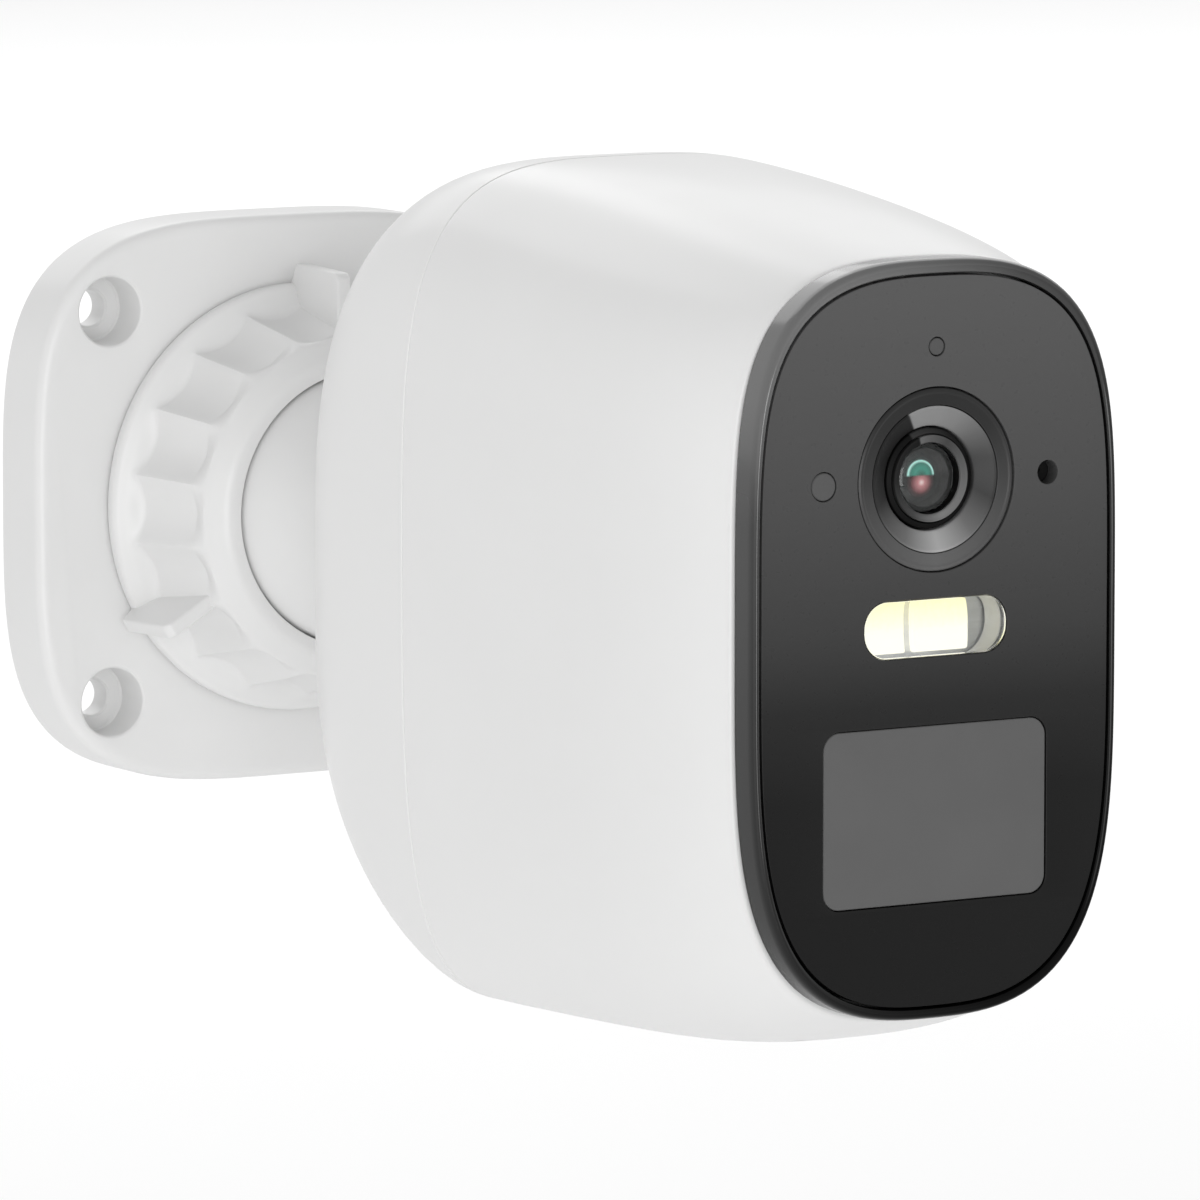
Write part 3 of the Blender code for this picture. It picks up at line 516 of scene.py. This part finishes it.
def turned(name, profile, centre, material, steps=128):
    """A (radius, height) profile in mm, turned about the -Y axis through centre."""
    angles = np.linspace(0, 2 * math.pi, steps, endpoint=False)
    rings = []
    for r, h in profile:
        u, v = max(r, 1e-5) * np.cos(angles), max(r, 1e-5) * np.sin(angles)
        rings.append(np.stack([centre[0] + u, np.full(steps, centre[1] - h), centre[2] + v], 1))
    closed = profile[0][0] > 0 and profile[-1][0] > 0
    obj = loft(name, rings, material, wrap=closed, cap_ends=not closed)
    bm = bmesh.new()
    bm.from_mesh(obj.data)
    bmesh.ops.remove_doubles(bm, verts=bm.verts, dist=1e-7)
    bmesh.ops.recalc_face_normals(bm, faces=bm.faces)
    bm.to_mesh(obj.data)
    bm.free()
    return smooth(obj)


def rounded_profile(corners, steps=5):
    """A profile of (r, h[, radius]) corners, with each corner that has a radius rounded."""
    made = []
    count = len(corners)
    for i, corner in enumerate(corners):
        p = np.array(corner[:2], float)
        radius = corner[2] if len(corner) > 2 else 0.0
        before = np.array(corners[i - 1][:2], float)
        after = np.array(corners[(i + 1) % count][:2], float)
        a, b = before - p, after - p
        la, lb = np.linalg.norm(a), np.linalg.norm(b)
        if radius <= 0 or la < 1e-9 or lb < 1e-9:
            made.append(tuple(p))
            continue
        a, b = a / la, b / lb
        reach = min(radius, 0.45 * la, 0.45 * lb)
        start, end = p + a * reach, p + b * reach
        for k in range(steps + 1):
            t = k / steps
            q = (1 - t) ** 2 * start + 2 * t * (1 - t) * p + t**2 * end
            made.append((float(q[0]), float(q[1])))
    return made


def half_outline(half_width, height, power_x, power_z, count):
    angles = np.linspace(0.0, math.pi / 2, 1200)
    x = half_width * np.cos(angles) ** (2 / power_x)
    z = height * np.sin(angles) ** (2 / power_z)
    along = np.concatenate([[0.0], np.cumsum(np.hypot(np.diff(x), np.diff(z)))])
    at = np.linspace(0.0, along[-1], count, endpoint=False)
    return np.interp(at, along, x), np.interp(at, along, z)


def egg(half_width, top, bottom, powers, centre_z, count=192):
    """A closed outline with its own height and corner shape above and below its centre."""
    quarter = count // 4
    ux, uz = half_outline(half_width, top, powers[0], powers[1], quarter)
    lx, lz = half_outline(half_width, bottom, powers[2], powers[3], quarter)
    x = np.concatenate([ux, [0.0], -ux[:0:-1], -lx, [0.0], lx[:0:-1]])
    z = np.concatenate([uz, [top], uz[:0:-1], -lz, [-bottom], -lz[:0:-1]])
    return x, z + centre_z


def at_depth(outline, depth):
    x, z = outline
    return np.stack([x, np.full(len(x), FRONT_Y + depth), z], 1)


def rim_outline(share):
    """An outline between the bezel's edge (0) and the mouth that the panel sits in (1)."""
    sizes = [a + (b + PANEL_GAP - a) * share for a, b in zip(BEZEL_SIZES, PANEL_SIZES)]
    return egg(*sizes, FRONT_POWERS, FACE_Z)


def shell_outline(depth, inset=0.0):
    t = (depth - BEZEL_DEPTH) / (SEAM_DEPTH - BEZEL_DEPTH)
    sizes = [
        front + (seam + belly - front) * (1 - (1 - t) ** ease) - belly * t**3
        for front, seam, belly, ease in zip(SHELL_FRONT, SHELL_SEAM, SHELL_BELLY, SHELL_EASE)
    ]
    powers = [a + (b - a) * t**POWER_EASE for a, b in zip(FRONT_POWERS, SEAM_POWERS)]
    return egg(*(size - inset for size in sizes), powers, BODY_Z)


def cap_outline(share, inset=0.0):
    sizes = [
        max(0.4, size * (1 - share**power) ** (1 / power) - inset)
        for size, power in zip(SHELL_SEAM, CAP_POWERS)
    ]
    return egg(*sizes, SEAM_POWERS, BODY_Z + CAP_DROP * share**2)


def circle(radius, x, z, count=96):
    angles = np.linspace(0, 2 * math.pi, count, endpoint=False)
    return x + radius * np.cos(angles), z + radius * np.sin(angles)


def rounded_rectangle(half_width, half_height, radius, x, z, steps=14):
    xs, zs = [], []
    for corner in range(4):
        sx = 1 if corner in (0, 3) else -1
        sz = 1 if corner in (0, 1) else -1
        for i in range(steps + 1):
            a = math.radians(90 * (corner + i / steps))
            xs.append(x + sx * (half_width - radius) + radius * math.cos(a))
            zs.append(z + sz * (half_height - radius) + radius * math.sin(a))
    return np.array(xs), np.array(zs)


def plate_of(name, outlines, depth_front, depth_back, edge, material):
    """A flat slab with holes whose edges are all rounded, standing across the view axis."""
    curve = bpy.data.curves.new(name, "CURVE")
    curve.dimensions = "2D"
    curve.fill_mode = "BOTH"
    curve.bevel_depth = edge * MM
    curve.bevel_resolution = 3
    curve.offset = -edge * MM
    curve.extrude = ((depth_back - depth_front) / 2 - edge) * MM
    for x, z in outlines:
        spline = curve.splines.new("POLY")
        spline.points.add(len(x) - 1)
        for point, px, pz in zip(spline.points, x, z):
            point.co = (px * MM, pz * MM, 0.0, 1.0)
        spline.use_cyclic_u = True
    shaper = bpy.data.objects.new(name, curve)
    bpy.context.scene.collection.objects.link(shaper)
    bpy.context.view_layer.update()
    evaluated = shaper.evaluated_get(bpy.context.evaluated_depsgraph_get())
    mesh = bpy.data.meshes.new_from_object(evaluated)
    bpy.data.objects.remove(shaper)
    bpy.data.curves.remove(curve)
    middle = (FRONT_Y + (depth_front + depth_back) / 2) * MM
    mesh.transform(Matrix.Translation((0, middle, 0)) @ Matrix.Rotation(math.pi / 2, 4, "X"))
    bm = bmesh.new()
    bm.from_mesh(mesh)
    bmesh.ops.remove_doubles(bm, verts=bm.verts, dist=1e-7)
    mesh.materials.clear()
    return mesh_from(name, bm, material, 40)


def boolean(obj, other, operation):
    step = obj.modifiers.new("cut", "BOOLEAN")
    step.operation = operation
    step.object = other
    apply_modifiers(obj)
    bpy.data.objects.remove(other)


def apply_modifiers(obj):
    bpy.context.view_layer.update()
    evaluated = obj.evaluated_get(bpy.context.evaluated_depsgraph_get())
    mesh = bpy.data.meshes.new_from_object(evaluated)
    obj.modifiers.clear()
    obj.data = mesh


def block(name, size, centre, material, edge, segments=3):
    """A box in mm with all its edges rounded."""
    bm = bmesh.new()
    bmesh.ops.create_cube(bm, size=1.0, matrix=Matrix.Diagonal((*(s * MM for s in size), 1.0)))
    bmesh.ops.translate(bm, verts=bm.verts, vec=Vector(centre) * MM)
    bmesh.ops.bevel(bm, geom=bm.edges[:], offset=edge * MM, segments=segments, profile=0.5, affect="EDGES")
    return mesh_from(name, bm, material)


def stands_for(piece, body, slot, *nodes):
    """Ties a piece to the body that carries it and hides the CAD nodes it replaces; the slot argument is
    not used.
    """
    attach(piece, body)
    if nodes:
        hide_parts(*nodes)


# Wall mount


def make_wall_plate():
    edge = [(0.0, 0.0, 0.4), (0.0, PLATE_THICKNESS, 1.5), (6.0, PLATE_THICKNESS)]
    profile = rounded_profile(edge, steps=8)
    rings = []
    for inset, forward in profile[:-1]:
        half_width, half_height = (size - inset for size in PLATE_SIZES)
        x, z = egg(half_width, half_height, half_height, (PLATE_POWER,) * 4, 0.0)
        rings.append(np.stack([x, np.full(len(x), -forward), z], 1))
    plate = loft("wall_plate_moulding", rings, "mount_white")
    tube = rounded_profile([(0.0, 6.0), (19.3, 6.0), (19.3, 18.0, 0.5), (0.0, 18.0)])
    boolean(plate, turned("socket_tube", tube, (0, 0, 0), "mount_white"), "UNION")
    cup_radius = BALL_RADIUS + SOCKET_CLEARANCE
    arc = np.linspace(0, math.pi / 2, 24)
    cup = [(0.0, -cup_radius)] + [(cup_radius * math.sin(a), -cup_radius * math.cos(a)) for a in arc[1:]]
    cup += [(cup_radius, 12.0), (0.0, 12.0)]
    boolean(plate, turned("socket_hollow", cup, (0, BALL_Y, 0), "mount_white"), "DIFFERENCE")
    for sx in (-1, 1):
        for sz in (-1, 1):
            inner, outer = SCREW_HOLE_RADIUS, SCREW_HEAD_RADIUS
            hole = [(0, -1), (inner, -1), (inner, 3.35), (inner + 0.25, 3.6), (outer - 0.25, 3.6)]
            hole += [(outer, 3.85), (outer, 8.5), (outer + 0.08, 8.75), (outer + 0.28, 8.93)]
            hole += [(outer + 0.6, 9.0), (outer + 0.6, 11), (0, 11)]
            place = (sx * SCREW_X, 0, sz * SCREW_Z)
            boolean(plate, turned("screw_recess", hole, place, "mount_white", 64), "DIFFERENCE")
    smooth(plate, 28)
    stands_for(plate, "wall_plate", "mount_white", "wall_plate")


def flute_depth(degrees):
    """How deep the skirt is scooped at an angle: 1 in mid flute, 0 on a ridge or by a rib."""
    turn = 360 / COLLAR_POSITIONS
    position = round(degrees / turn)
    middle = position * turn
    if any(abs((middle - rib + 180) % 360 - 180) < 1 for rib in COLLAR_RIB_ANGLES):
        return 0.0
    off = abs(degrees - middle) / (turn / 2)
    return max(0.0, 1 - (off / 0.97) ** 2)


def make_collar():
    outer = [
        (25.35, 0.4, 0.3),
        (25.35, 1.9, 0.9),
        (23.4, 2.7, 1.2),
        (22.9, 4.4, 0.8),
        (21.2, 12.0, 1.0),
        (20.3, 14.3, 1.2),
        (17.9, 16.3, 0.9),
        (16.2, 16.3, 0.25),
    ]
    inner = [(16.5, 15.4, 0.2), (18.8, 15.4), (18.8, 10.2), (19.6, 10.2), (19.6, 0.4, 0.2)]
    profile = rounded_profile(outer + inner, steps=6)
    steps = COLLAR_POSITIONS * FLUTE_STEPS
    angles = np.arange(steps) * 360 / steps
    depth = np.array([flute_depth(a) for a in angles])
    rings = []
    for base, forward in profile:
        fade = 0.0
        if base > 19.9 and 2.6 < forward < 14.2:
            fade = min(1.0, (forward - 2.6) / 0.7, (14.2 - forward) / 2.2)
        radius = base - FLUTE_DEPTH * depth * max(0.0, fade)
        a = np.radians(angles)
        y = np.full(steps, -PLATE_THICKNESS - forward)
        rings.append(np.stack([radius * np.cos(a), y, radius * np.sin(a)], 1))
    extra = []
    for first, second in zip(rings, rings[1:] + rings[:1]):
        extra.append(first)
        gap = np.abs(first[0] - second[0]).max()
        pieces = int(gap // 0.9)
        extra += [first + (second - first) * k / (pieces + 1) for k in range(1, pieces + 1)]
    collar = loft("locking_collar_moulding", extra, "mount_white", wrap=True, cap_ends=False)
    stands_for(collar, "locking_collar", "mount_white", "locking_collar")
    outline = [(20.0, 0.65), (25.1, 0.65), (27.7, 2.0), (27.3, 11.4), (26.7, 12.1), (20.0, 12.1)]
    for angle in COLLAR_RIB_ANGLES:
        bm = bmesh.new()
        corners = [Vector((r, -PLATE_THICKNESS - f, -RIB_THICKNESS / 2)) * MM for r, f in outline]
        face = bm.faces.new([bm.verts.new(c) for c in corners])
        raised = bmesh.ops.extrude_face_region(bm, geom=[face])["geom"]
        moved = [v for v in raised if isinstance(v, bmesh.types.BMVert)]
        bmesh.ops.translate(bm, vec=(0, 0, RIB_THICKNESS * MM), verts=moved)
        bmesh.ops.bevel(bm, geom=bm.edges[:], offset=0.35 * MM, segments=4, profile=0.5, affect="EDGES")
        rib = mesh_from(f"collar_rib_{angle}", bm, "mount_white")
        rib.data.transform(Matrix.Rotation(-math.radians(angle), 4, "Y"))
        stands_for(rib, "locking_collar", "mount_white")


def make_ball():
    flange = -(FRONT_Y + REAR_DEPTH) - 0.3 + BALL_Y
    start = math.asin(7.4 / BALL_RADIUS)
    arc = np.linspace(math.pi, start, 60)
    ball = [(BALL_RADIUS * math.sin(a), BALL_RADIUS * math.cos(a)) for a in arc]
    ball[0] = (0.0, -BALL_RADIUS)
    neck = rounded_profile(
        [
            ball[-1],
            (NECK_RADIUS, BALL_RADIUS + 0.2, 1.0),
            (NECK_RADIUS, flange - 5.5, 2.0),
            (9.3, flange - 2.7, 0.8),
            (10.5, flange - 2.2, 0.4),
            (10.5, flange, 0.25),
            (3.5, flange),
            (3.5, flange - 11.0),
            (0.0, flange - 11.0),
        ]
    )
    piece = turned("ball_and_neck", ball[:-1] + neck, (0, BALL_Y, 0), "mount_white")
    stands_for(piece, "ball_stud", "mount_white", "ball_stud")


# Housing


def make_main_shell():
    depths = np.concatenate([[4.05, 4.12, 4.3, 4.6], np.linspace(5.2, SEAM_DEPTH - 0.6, 54)])
    insets = np.concatenate([[0.35, 0.16, 0.05, 0.0], np.zeros(54)])
    depths = np.concatenate([depths, [SEAM_DEPTH - 0.2, SEAM_DEPTH, SEAM_DEPTH + 0.08]])
    insets = np.concatenate([insets, [0.0, 0.03, 0.14]])
    rings = [at_depth(shell_outline(min(d, SEAM_DEPTH), i), d) for d, i in zip(depths, insets)]
    inner = np.linspace(SEAM_DEPTH, 4.1, 24)
    rings += [at_depth(shell_outline(d, WALL), d) for d in inner]
    shell = loft("main_shell_moulding", rings, "shell_white", wrap=True, cap_ends=False)
    size = (PORT_HALF_WIDTH * 2, PORT_LENGTH, 12.0)
    place = (0, PORT_Y, PORT_FLOOR_Z + 3.0)
    boolean(shell, block("port_well", size, place, "shell_white", 1.2, 5), "DIFFERENCE")
    for i in range(GRILLE_SLOTS):
        place = ((i - GRILLE_SLOTS // 2) * GRILLE_PITCH, FRONT_Y + 22.0, -42.8)
        boolean(shell, block("grille", (1.2, 10.0, 12.0), place, "shell_white", 0.55, 4), "DIFFERENCE")
    smooth(shell, 30)
    stands_for(shell, "camera", "shell_white", "main_shell")


def make_rear_cap():
    start = SEAM_DEPTH + 0.3
    shares = np.sin(np.linspace(0, 1, 56) * math.pi / 2)
    shares[-1] = 0.9995
    rings = [
        at_depth(cap_outline(0.0, 0.14), start - 0.1),
        at_depth(cap_outline(0.0, 0.03), start - 0.03),
    ]
    rings += [at_depth(cap_outline(s), start + CAP_LENGTH * s) for s in shares]
    inner_shares = np.sin(np.linspace(0.94, 0, 24) * math.pi / 2)
    reach = CAP_LENGTH - WALL
    rings += [at_depth(cap_outline(s, WALL * (1 - s * 0.6)), start + reach * s) for s in inner_shares]
    outer = loft("rear_cap_moulding", rings, "shell_white", wrap=True, cap_ends=False)
    rear = FRONT_Y + REAR_DEPTH
    boss = rounded_profile([(0.0, 0.0), (11.0, 0.0, 0.5), (11.0, 12.0), (0.0, 12.0)])
    boolean(outer, turned("cap_boss", boss, (0, rear, 0), "shell_white"), "UNION")
    bore = [(0, -2), (5.6, -2), (5.6, 0.2), (5.2, 0.6), (5.2, 30), (0, 30)]
    boolean(outer, turned("cap_bore", bore, (0, rear, 0), "shell_white"), "DIFFERENCE")
    smooth(outer, 30)
    stands_for(outer, "camera", "shell_white", "rear_cap")


def make_bezel():
    """A glossy frame whose rounded lip stands a little proud of the panel."""
    lip = [(0.0, BEZEL_DEPTH), (0.0, 1.35)]
    arc = np.linspace(0, math.pi / 2, 9)[1:]
    lip += [(0.5 - 0.5 * math.cos(a), 1.35 - 1.35 * math.sin(a)) for a in arc]
    lip += [(0.5 + 0.5 * math.sin(a), 0.5 - 0.5 * math.cos(a)) for a in arc]
    lip += [(1.0, 2.6)]
    rings = [at_depth(rim_outline(share), depth) for share, depth in lip]
    ledge = [(2.55, 2.6), (2.55, 7.6), (1.35, 7.6), (1.35, BEZEL_DEPTH)]
    for inset, depth in ledge:
        outline = egg(*(size - inset for size in PANEL_SIZES), FRONT_POWERS, FACE_Z)
        rings.append(at_depth(outline, depth))
    piece = loft("front_bezel_frame", rings, "gloss_black", wrap=True, cap_ends=False)
    stands_for(piece, "camera", "gloss_black", "front_bezel")


def make_face():
    holes = [
        egg(*PANEL_SIZES, FRONT_POWERS, FACE_Z, 256),
        circle(9.95, 0, LENS_Z, 160),
        rounded_rectangle(*PIR_HALF, 2.1, 0, PIR_Z),
        rounded_rectangle(*LIGHT_HALF, 2.9, 0, LIGHT_Z),
        circle(1.05, 0, STATUS_Z, 48),
        circle(1.6, -SENSOR_X, LENS_Z, 48),
        circle(1.3, SENSOR_X, LENS_Z, 48),
    ]
    panel = plate_of("face_panel", holes, 0.3, 2.3, 0.1, "panel_dark")
    stands_for(panel, "camera", "panel_dark", "front_panel")
    pir = rounded_rectangle(PIR_HALF[0] - 0.1, PIR_HALF[1] - 0.1, 2.0, 0, PIR_Z)
    window = plate_of("motion_window", [pir], 0.4, 1.8, 0.15, "window_grey")
    stands_for(window, "camera", "window_grey", "pir_window")
    light = rounded_rectangle(LIGHT_HALF[0] - 0.08, LIGHT_HALF[1] - 0.08, 2.85, 0, LIGHT_Z)
    cover = plate_of("floodlight_cover", [light], 0.42, 1.3, 0.12, "clear_glass")
    stands_for(cover, "camera", "clear_glass", "floodlight_window")
    profile = [(0.0, 0.0), (0.82, 0.0), (0.92, -0.1), (0.92, -1.8), (0.0, -1.8)]
    status = turned("status_light_lens", profile, (0, FRONT_Y + 0.34, STATUS_Z), "panel_dark", 48)
    stands_for(status, "camera", "clear_glass", "status_light_window")
    profile = [(0.0, 0.0), (1.38, 0.0), (1.5, -0.12), (1.5, -1.8), (0.0, -1.8)]
    place = (-SENSOR_X, FRONT_Y + 0.34, LENS_Z)
    disc = turned("light_sensor_disc", profile, place, "sensor_grey", 48)
    stands_for(disc, "camera", "window_grey", "light_sensor_window")
    profile = [(1.7, -2.4), (1.7, -2.8), (0.0, -2.8), (0.0, -2.6), (0.35, -2.6), (0.35, -2.4)]
    sleeve = turned("microphone_gasket", profile, (SENSOR_X, FRONT_Y, LENS_Z), "rubber_black", 48)
    stands_for(sleeve, "camera", "rubber_black")


# Lens


def lens_turned(name, corners, material):
    """A piece turned on the lens axis from (radius, depth[, rounding]) corners."""
    flipped = [(c[0], -c[1], *c[2:]) for c in corners]
    return turned(name, rounded_profile(flipped), (0, FRONT_Y, LENS_Z), material, 160)


def make_lens():
    band = [
        (9.82, 0.5, 0.1),
        (9.82, 2.5),
        (7.95, 2.5),
        (7.95, 0.55, 0.1),
        (9.15, 0.45, 0.1),
        (9.45, 0.3, 0.15),
    ]
    stands_for(lens_turned("lens_trim_band", band, "lens_band"), "camera", "matt_black")
    cone = [
        (7.86, 0.6, 0.08),
        (7.86, 2.6),
        (11.0, 2.6),
        (11.0, 6.4),
        (5.62, 6.4),
        (5.62, 1.8, 0.2),
        (7.6, 0.62, 0.1),
    ]
    stands_for(lens_turned("lens_cone", cone, "lens_cone"), "camera", "matt_black", "lens_trim_ring")
    hood = [
        (5.4, 1.9, 0.15),
        (5.4, 6.8),
        (6.0, 7.2),
        (6.0, 18.0),
        (2.5, 18.0),
        (2.5, 6.4),
        (3.8, 6.0),
        (3.8, 1.95),
        (4.7, 1.85, 0.1),
        (4.85, 1.6, 0.1),
    ]
    stands_for(lens_turned("lens_hood", hood, "lens_hood"), "camera", "matt_black", "lens_barrel")
    retainer = [
        (4.66, 1.35, 0.12),
        (4.66, 1.85),
        (3.85, 1.85),
        (3.85, 1.62, 0.1),
        (4.05, 1.5, 0.1),
        (4.4, 1.5, 0.1),
    ]
    stands_for(lens_turned("lens_retaining_ring", retainer, "lens_ring"), "camera", "steel")
    turn = np.linspace(0, math.pi / 2, 24)
    dome = [(3.75 * math.sin(a), 2.9 - 1.15 * math.cos(a)) for a in turn]
    front = [(0.0, dome[0][1])] + dome[1:] + [(3.75, 3.3), (3.0, 3.2), (1.5, 3.0), (0.0, 2.95)]
    glass_front = lens_turned("lens_front_glass", front, "lens_front")
    stands_for(glass_front, "camera", "clear_glass", "lens_front_element")
    # an inner element that carries the painted coating reflections and their faint painted glow
    inner = [(2.5 * math.sin(a), 4.3 - 0.7 * math.cos(a)) for a in turn]
    inner = [(0.0, inner[0][1])] + inner[1:] + [(2.5, 4.6), (0.0, 4.6)]
    stands_for(lens_turned("lens_coated_element", inner, "lens_coating_painted_reflection"), "camera", "clear_glass")


def make_floodlight():
    outer = rounded_rectangle(10.6, 4.6, 3.6, 0, LIGHT_Z)
    inner = rounded_rectangle(9.2, 3.2, 2.9, 0, LIGHT_Z)
    tray = plate_of("floodlight_reflector", [outer, inner], 2.6, 6.3, 0.15, "reflector_white")
    stands_for(tray, "camera", "reflector_white", "floodlight_tray")
    for side, x in (("left", -CHIP_X), ("right", CHIP_X)):
        chip = block(f"led_chip_{side}", CHIP_SIZE, (x, FRONT_Y + 5.9, LIGHT_Z), "phosphor", 0.2)
        stands_for(chip, "camera", "phosphor", f"floodlight_led_{side}")


def make_port():
    """A rubber flap that closes the port well flush with the underside."""
    width, length = PORT_HALF_WIDTH * 2 - 0.7, PORT_LENGTH - 0.7
    height = 4.0
    centre = (0, PORT_Y, PORT_FLAP_TOP - height / 2)
    flap = block("port_cover", (width, length, height), centre, "rubber_grey", 1.0, 4)
    middle = PORT_Y - FRONT_Y
    depths = np.linspace(middle - 10, middle + 10, 12)
    form = loft("port_cover_form", [at_depth(shell_outline(d, 0.08), d) for d in depths], "rubber_grey")
    boolean(flap, form, "INTERSECT")
    smooth(flap, 30)
    stands_for(flap, "port_flap", "rubber_grey", "port_flap")


def finish_carried_nodes():
    """Every CAD node that still shows takes the procedural material of its own slot."""
    slots = {part["node"]: part["material_slot"] for part in frame["record"]["subparts"]}
    for name, obj in frame["nodes"].items():
        if obj.hide_render:
            continue
        obj.data.materials.clear()
        obj.data.materials.append(MATERIALS[slots[name]])
        smooth(obj)


# Stage


def area_light(name, energy, size, place, target):
    data = bpy.data.lights.new(name, "AREA")
    data.shape = "RECTANGLE"
    data.size, data.size_y = size
    data.energy = energy
    obj = bpy.data.objects.new(name, data)
    bpy.context.scene.collection.objects.link(obj)
    obj.location = place
    obj.rotation_euler = (Vector(target) - Vector(place)).to_track_quat("-Z", "Y").to_euler()


def make_stage():
    bm = bmesh.new()
    bmesh.ops.create_grid(bm, x_segments=1, y_segments=1, size=FLOOR_HALF_SIZE)
    bmesh.ops.translate(bm, verts=bm.verts, vec=(0, 0, FLOOR_Z))
    mesh = bpy.data.meshes.new("studio_floor")
    bm.to_mesh(mesh)
    bm.free()
    floor = bpy.data.objects.new("studio_floor", mesh)
    pale = Nodes("floor_white")
    cloudy = pale.ramp(pale.noise(0.8), *greys(((0.3, 0.96), (0.7, 0.97))))
    pale.link(cloudy, pale.shader.inputs["Base Color"])
    pale.set(Roughness=0.9, Specular_IOR_Level=0.0)
    floor.data.materials.append(pale.material)
    bpy.context.scene.collection.objects.link(floor)

    world = bpy.data.worlds.new("studio")
    world.use_nodes = True
    nodes, links = world.node_tree.nodes, world.node_tree.links
    nodes["Background"].inputs["Color"].default_value = (1.0, 1.0, 1.0, 1.0)
    place = nodes.new("ShaderNodeTexCoord")
    split = nodes.new("ShaderNodeSeparateXYZ")
    sky = nodes.new("ShaderNodeMapRange")
    sky.inputs["From Min"].default_value = 0.1
    sky.inputs["To Min"].default_value = SKY_LOW
    sky.inputs["To Max"].default_value = SKY_HIGH
    links.new(place.outputs["Generated"], split.inputs["Vector"])
    links.new(split.outputs["Z"], sky.inputs["Value"])
    links.new(sky.outputs["Result"], nodes["Background"].inputs["Strength"])
    bpy.context.scene.world = world

    middle = (0.0, FRONT_Y * 0.6 * MM, 0.0)
    area_light("backdrop_light", 230.0, (10.0, 8.0), (3.4, 5.6, 3.4), (3.4, 5.6, 0.0))
    area_light("key_softbox", 6.8, (0.9, 0.9), (-0.8, -1.5, -0.05), middle)
    area_light("left_softbox", 0.7, (0.8, 0.9), (-1.2, -0.2, -0.2), middle)
    area_light("top_strip", 0.35, (0.2, 1.0), (0.4, 0.9, 0.9), middle)


def make_camera():
    """The photograph's view: a long lens from the object's own right, slightly above."""
    azimuth, elevation = math.radians(VIEW_AZIMUTH), math.radians(VIEW_ELEVATION)
    flat = math.cos(elevation)
    back = Vector((math.sin(azimuth) * flat, -math.cos(azimuth) * flat, math.sin(elevation)))
    right = Vector((math.cos(azimuth), math.sin(azimuth), 0.0))
    up = back.cross(right)
    data = bpy.data.cameras.new("view_camera")
    data.lens = VIEW_FOCAL_LENGTH
    data.sensor_width = 36.0
    data.clip_start = 0.05
    data.clip_end = 100.0
    camera = bpy.data.objects.new("view_camera", data)
    bpy.context.scene.collection.objects.link(camera)
    lens = Vector((0.0, FRONT_Y, LENS_Z))
    place = (lens + back * VIEW_DISTANCE - right * VIEW_ASIDE - up * VIEW_ABOVE) * MM
    turn = Matrix((right, up, back)).transposed().to_4x4()
    camera.matrix_world = Matrix.Translation(place) @ turn
    bpy.context.scene.camera = camera


bpy.context.scene.view_settings.view_transform = "Standard"
make_camera()
make_wall_plate()
make_collar()
make_ball()
make_main_shell()
make_rear_cap()
make_bezel()
make_face()
make_lens()
make_floodlight()
make_port()
finish_carried_nodes()
make_stage()
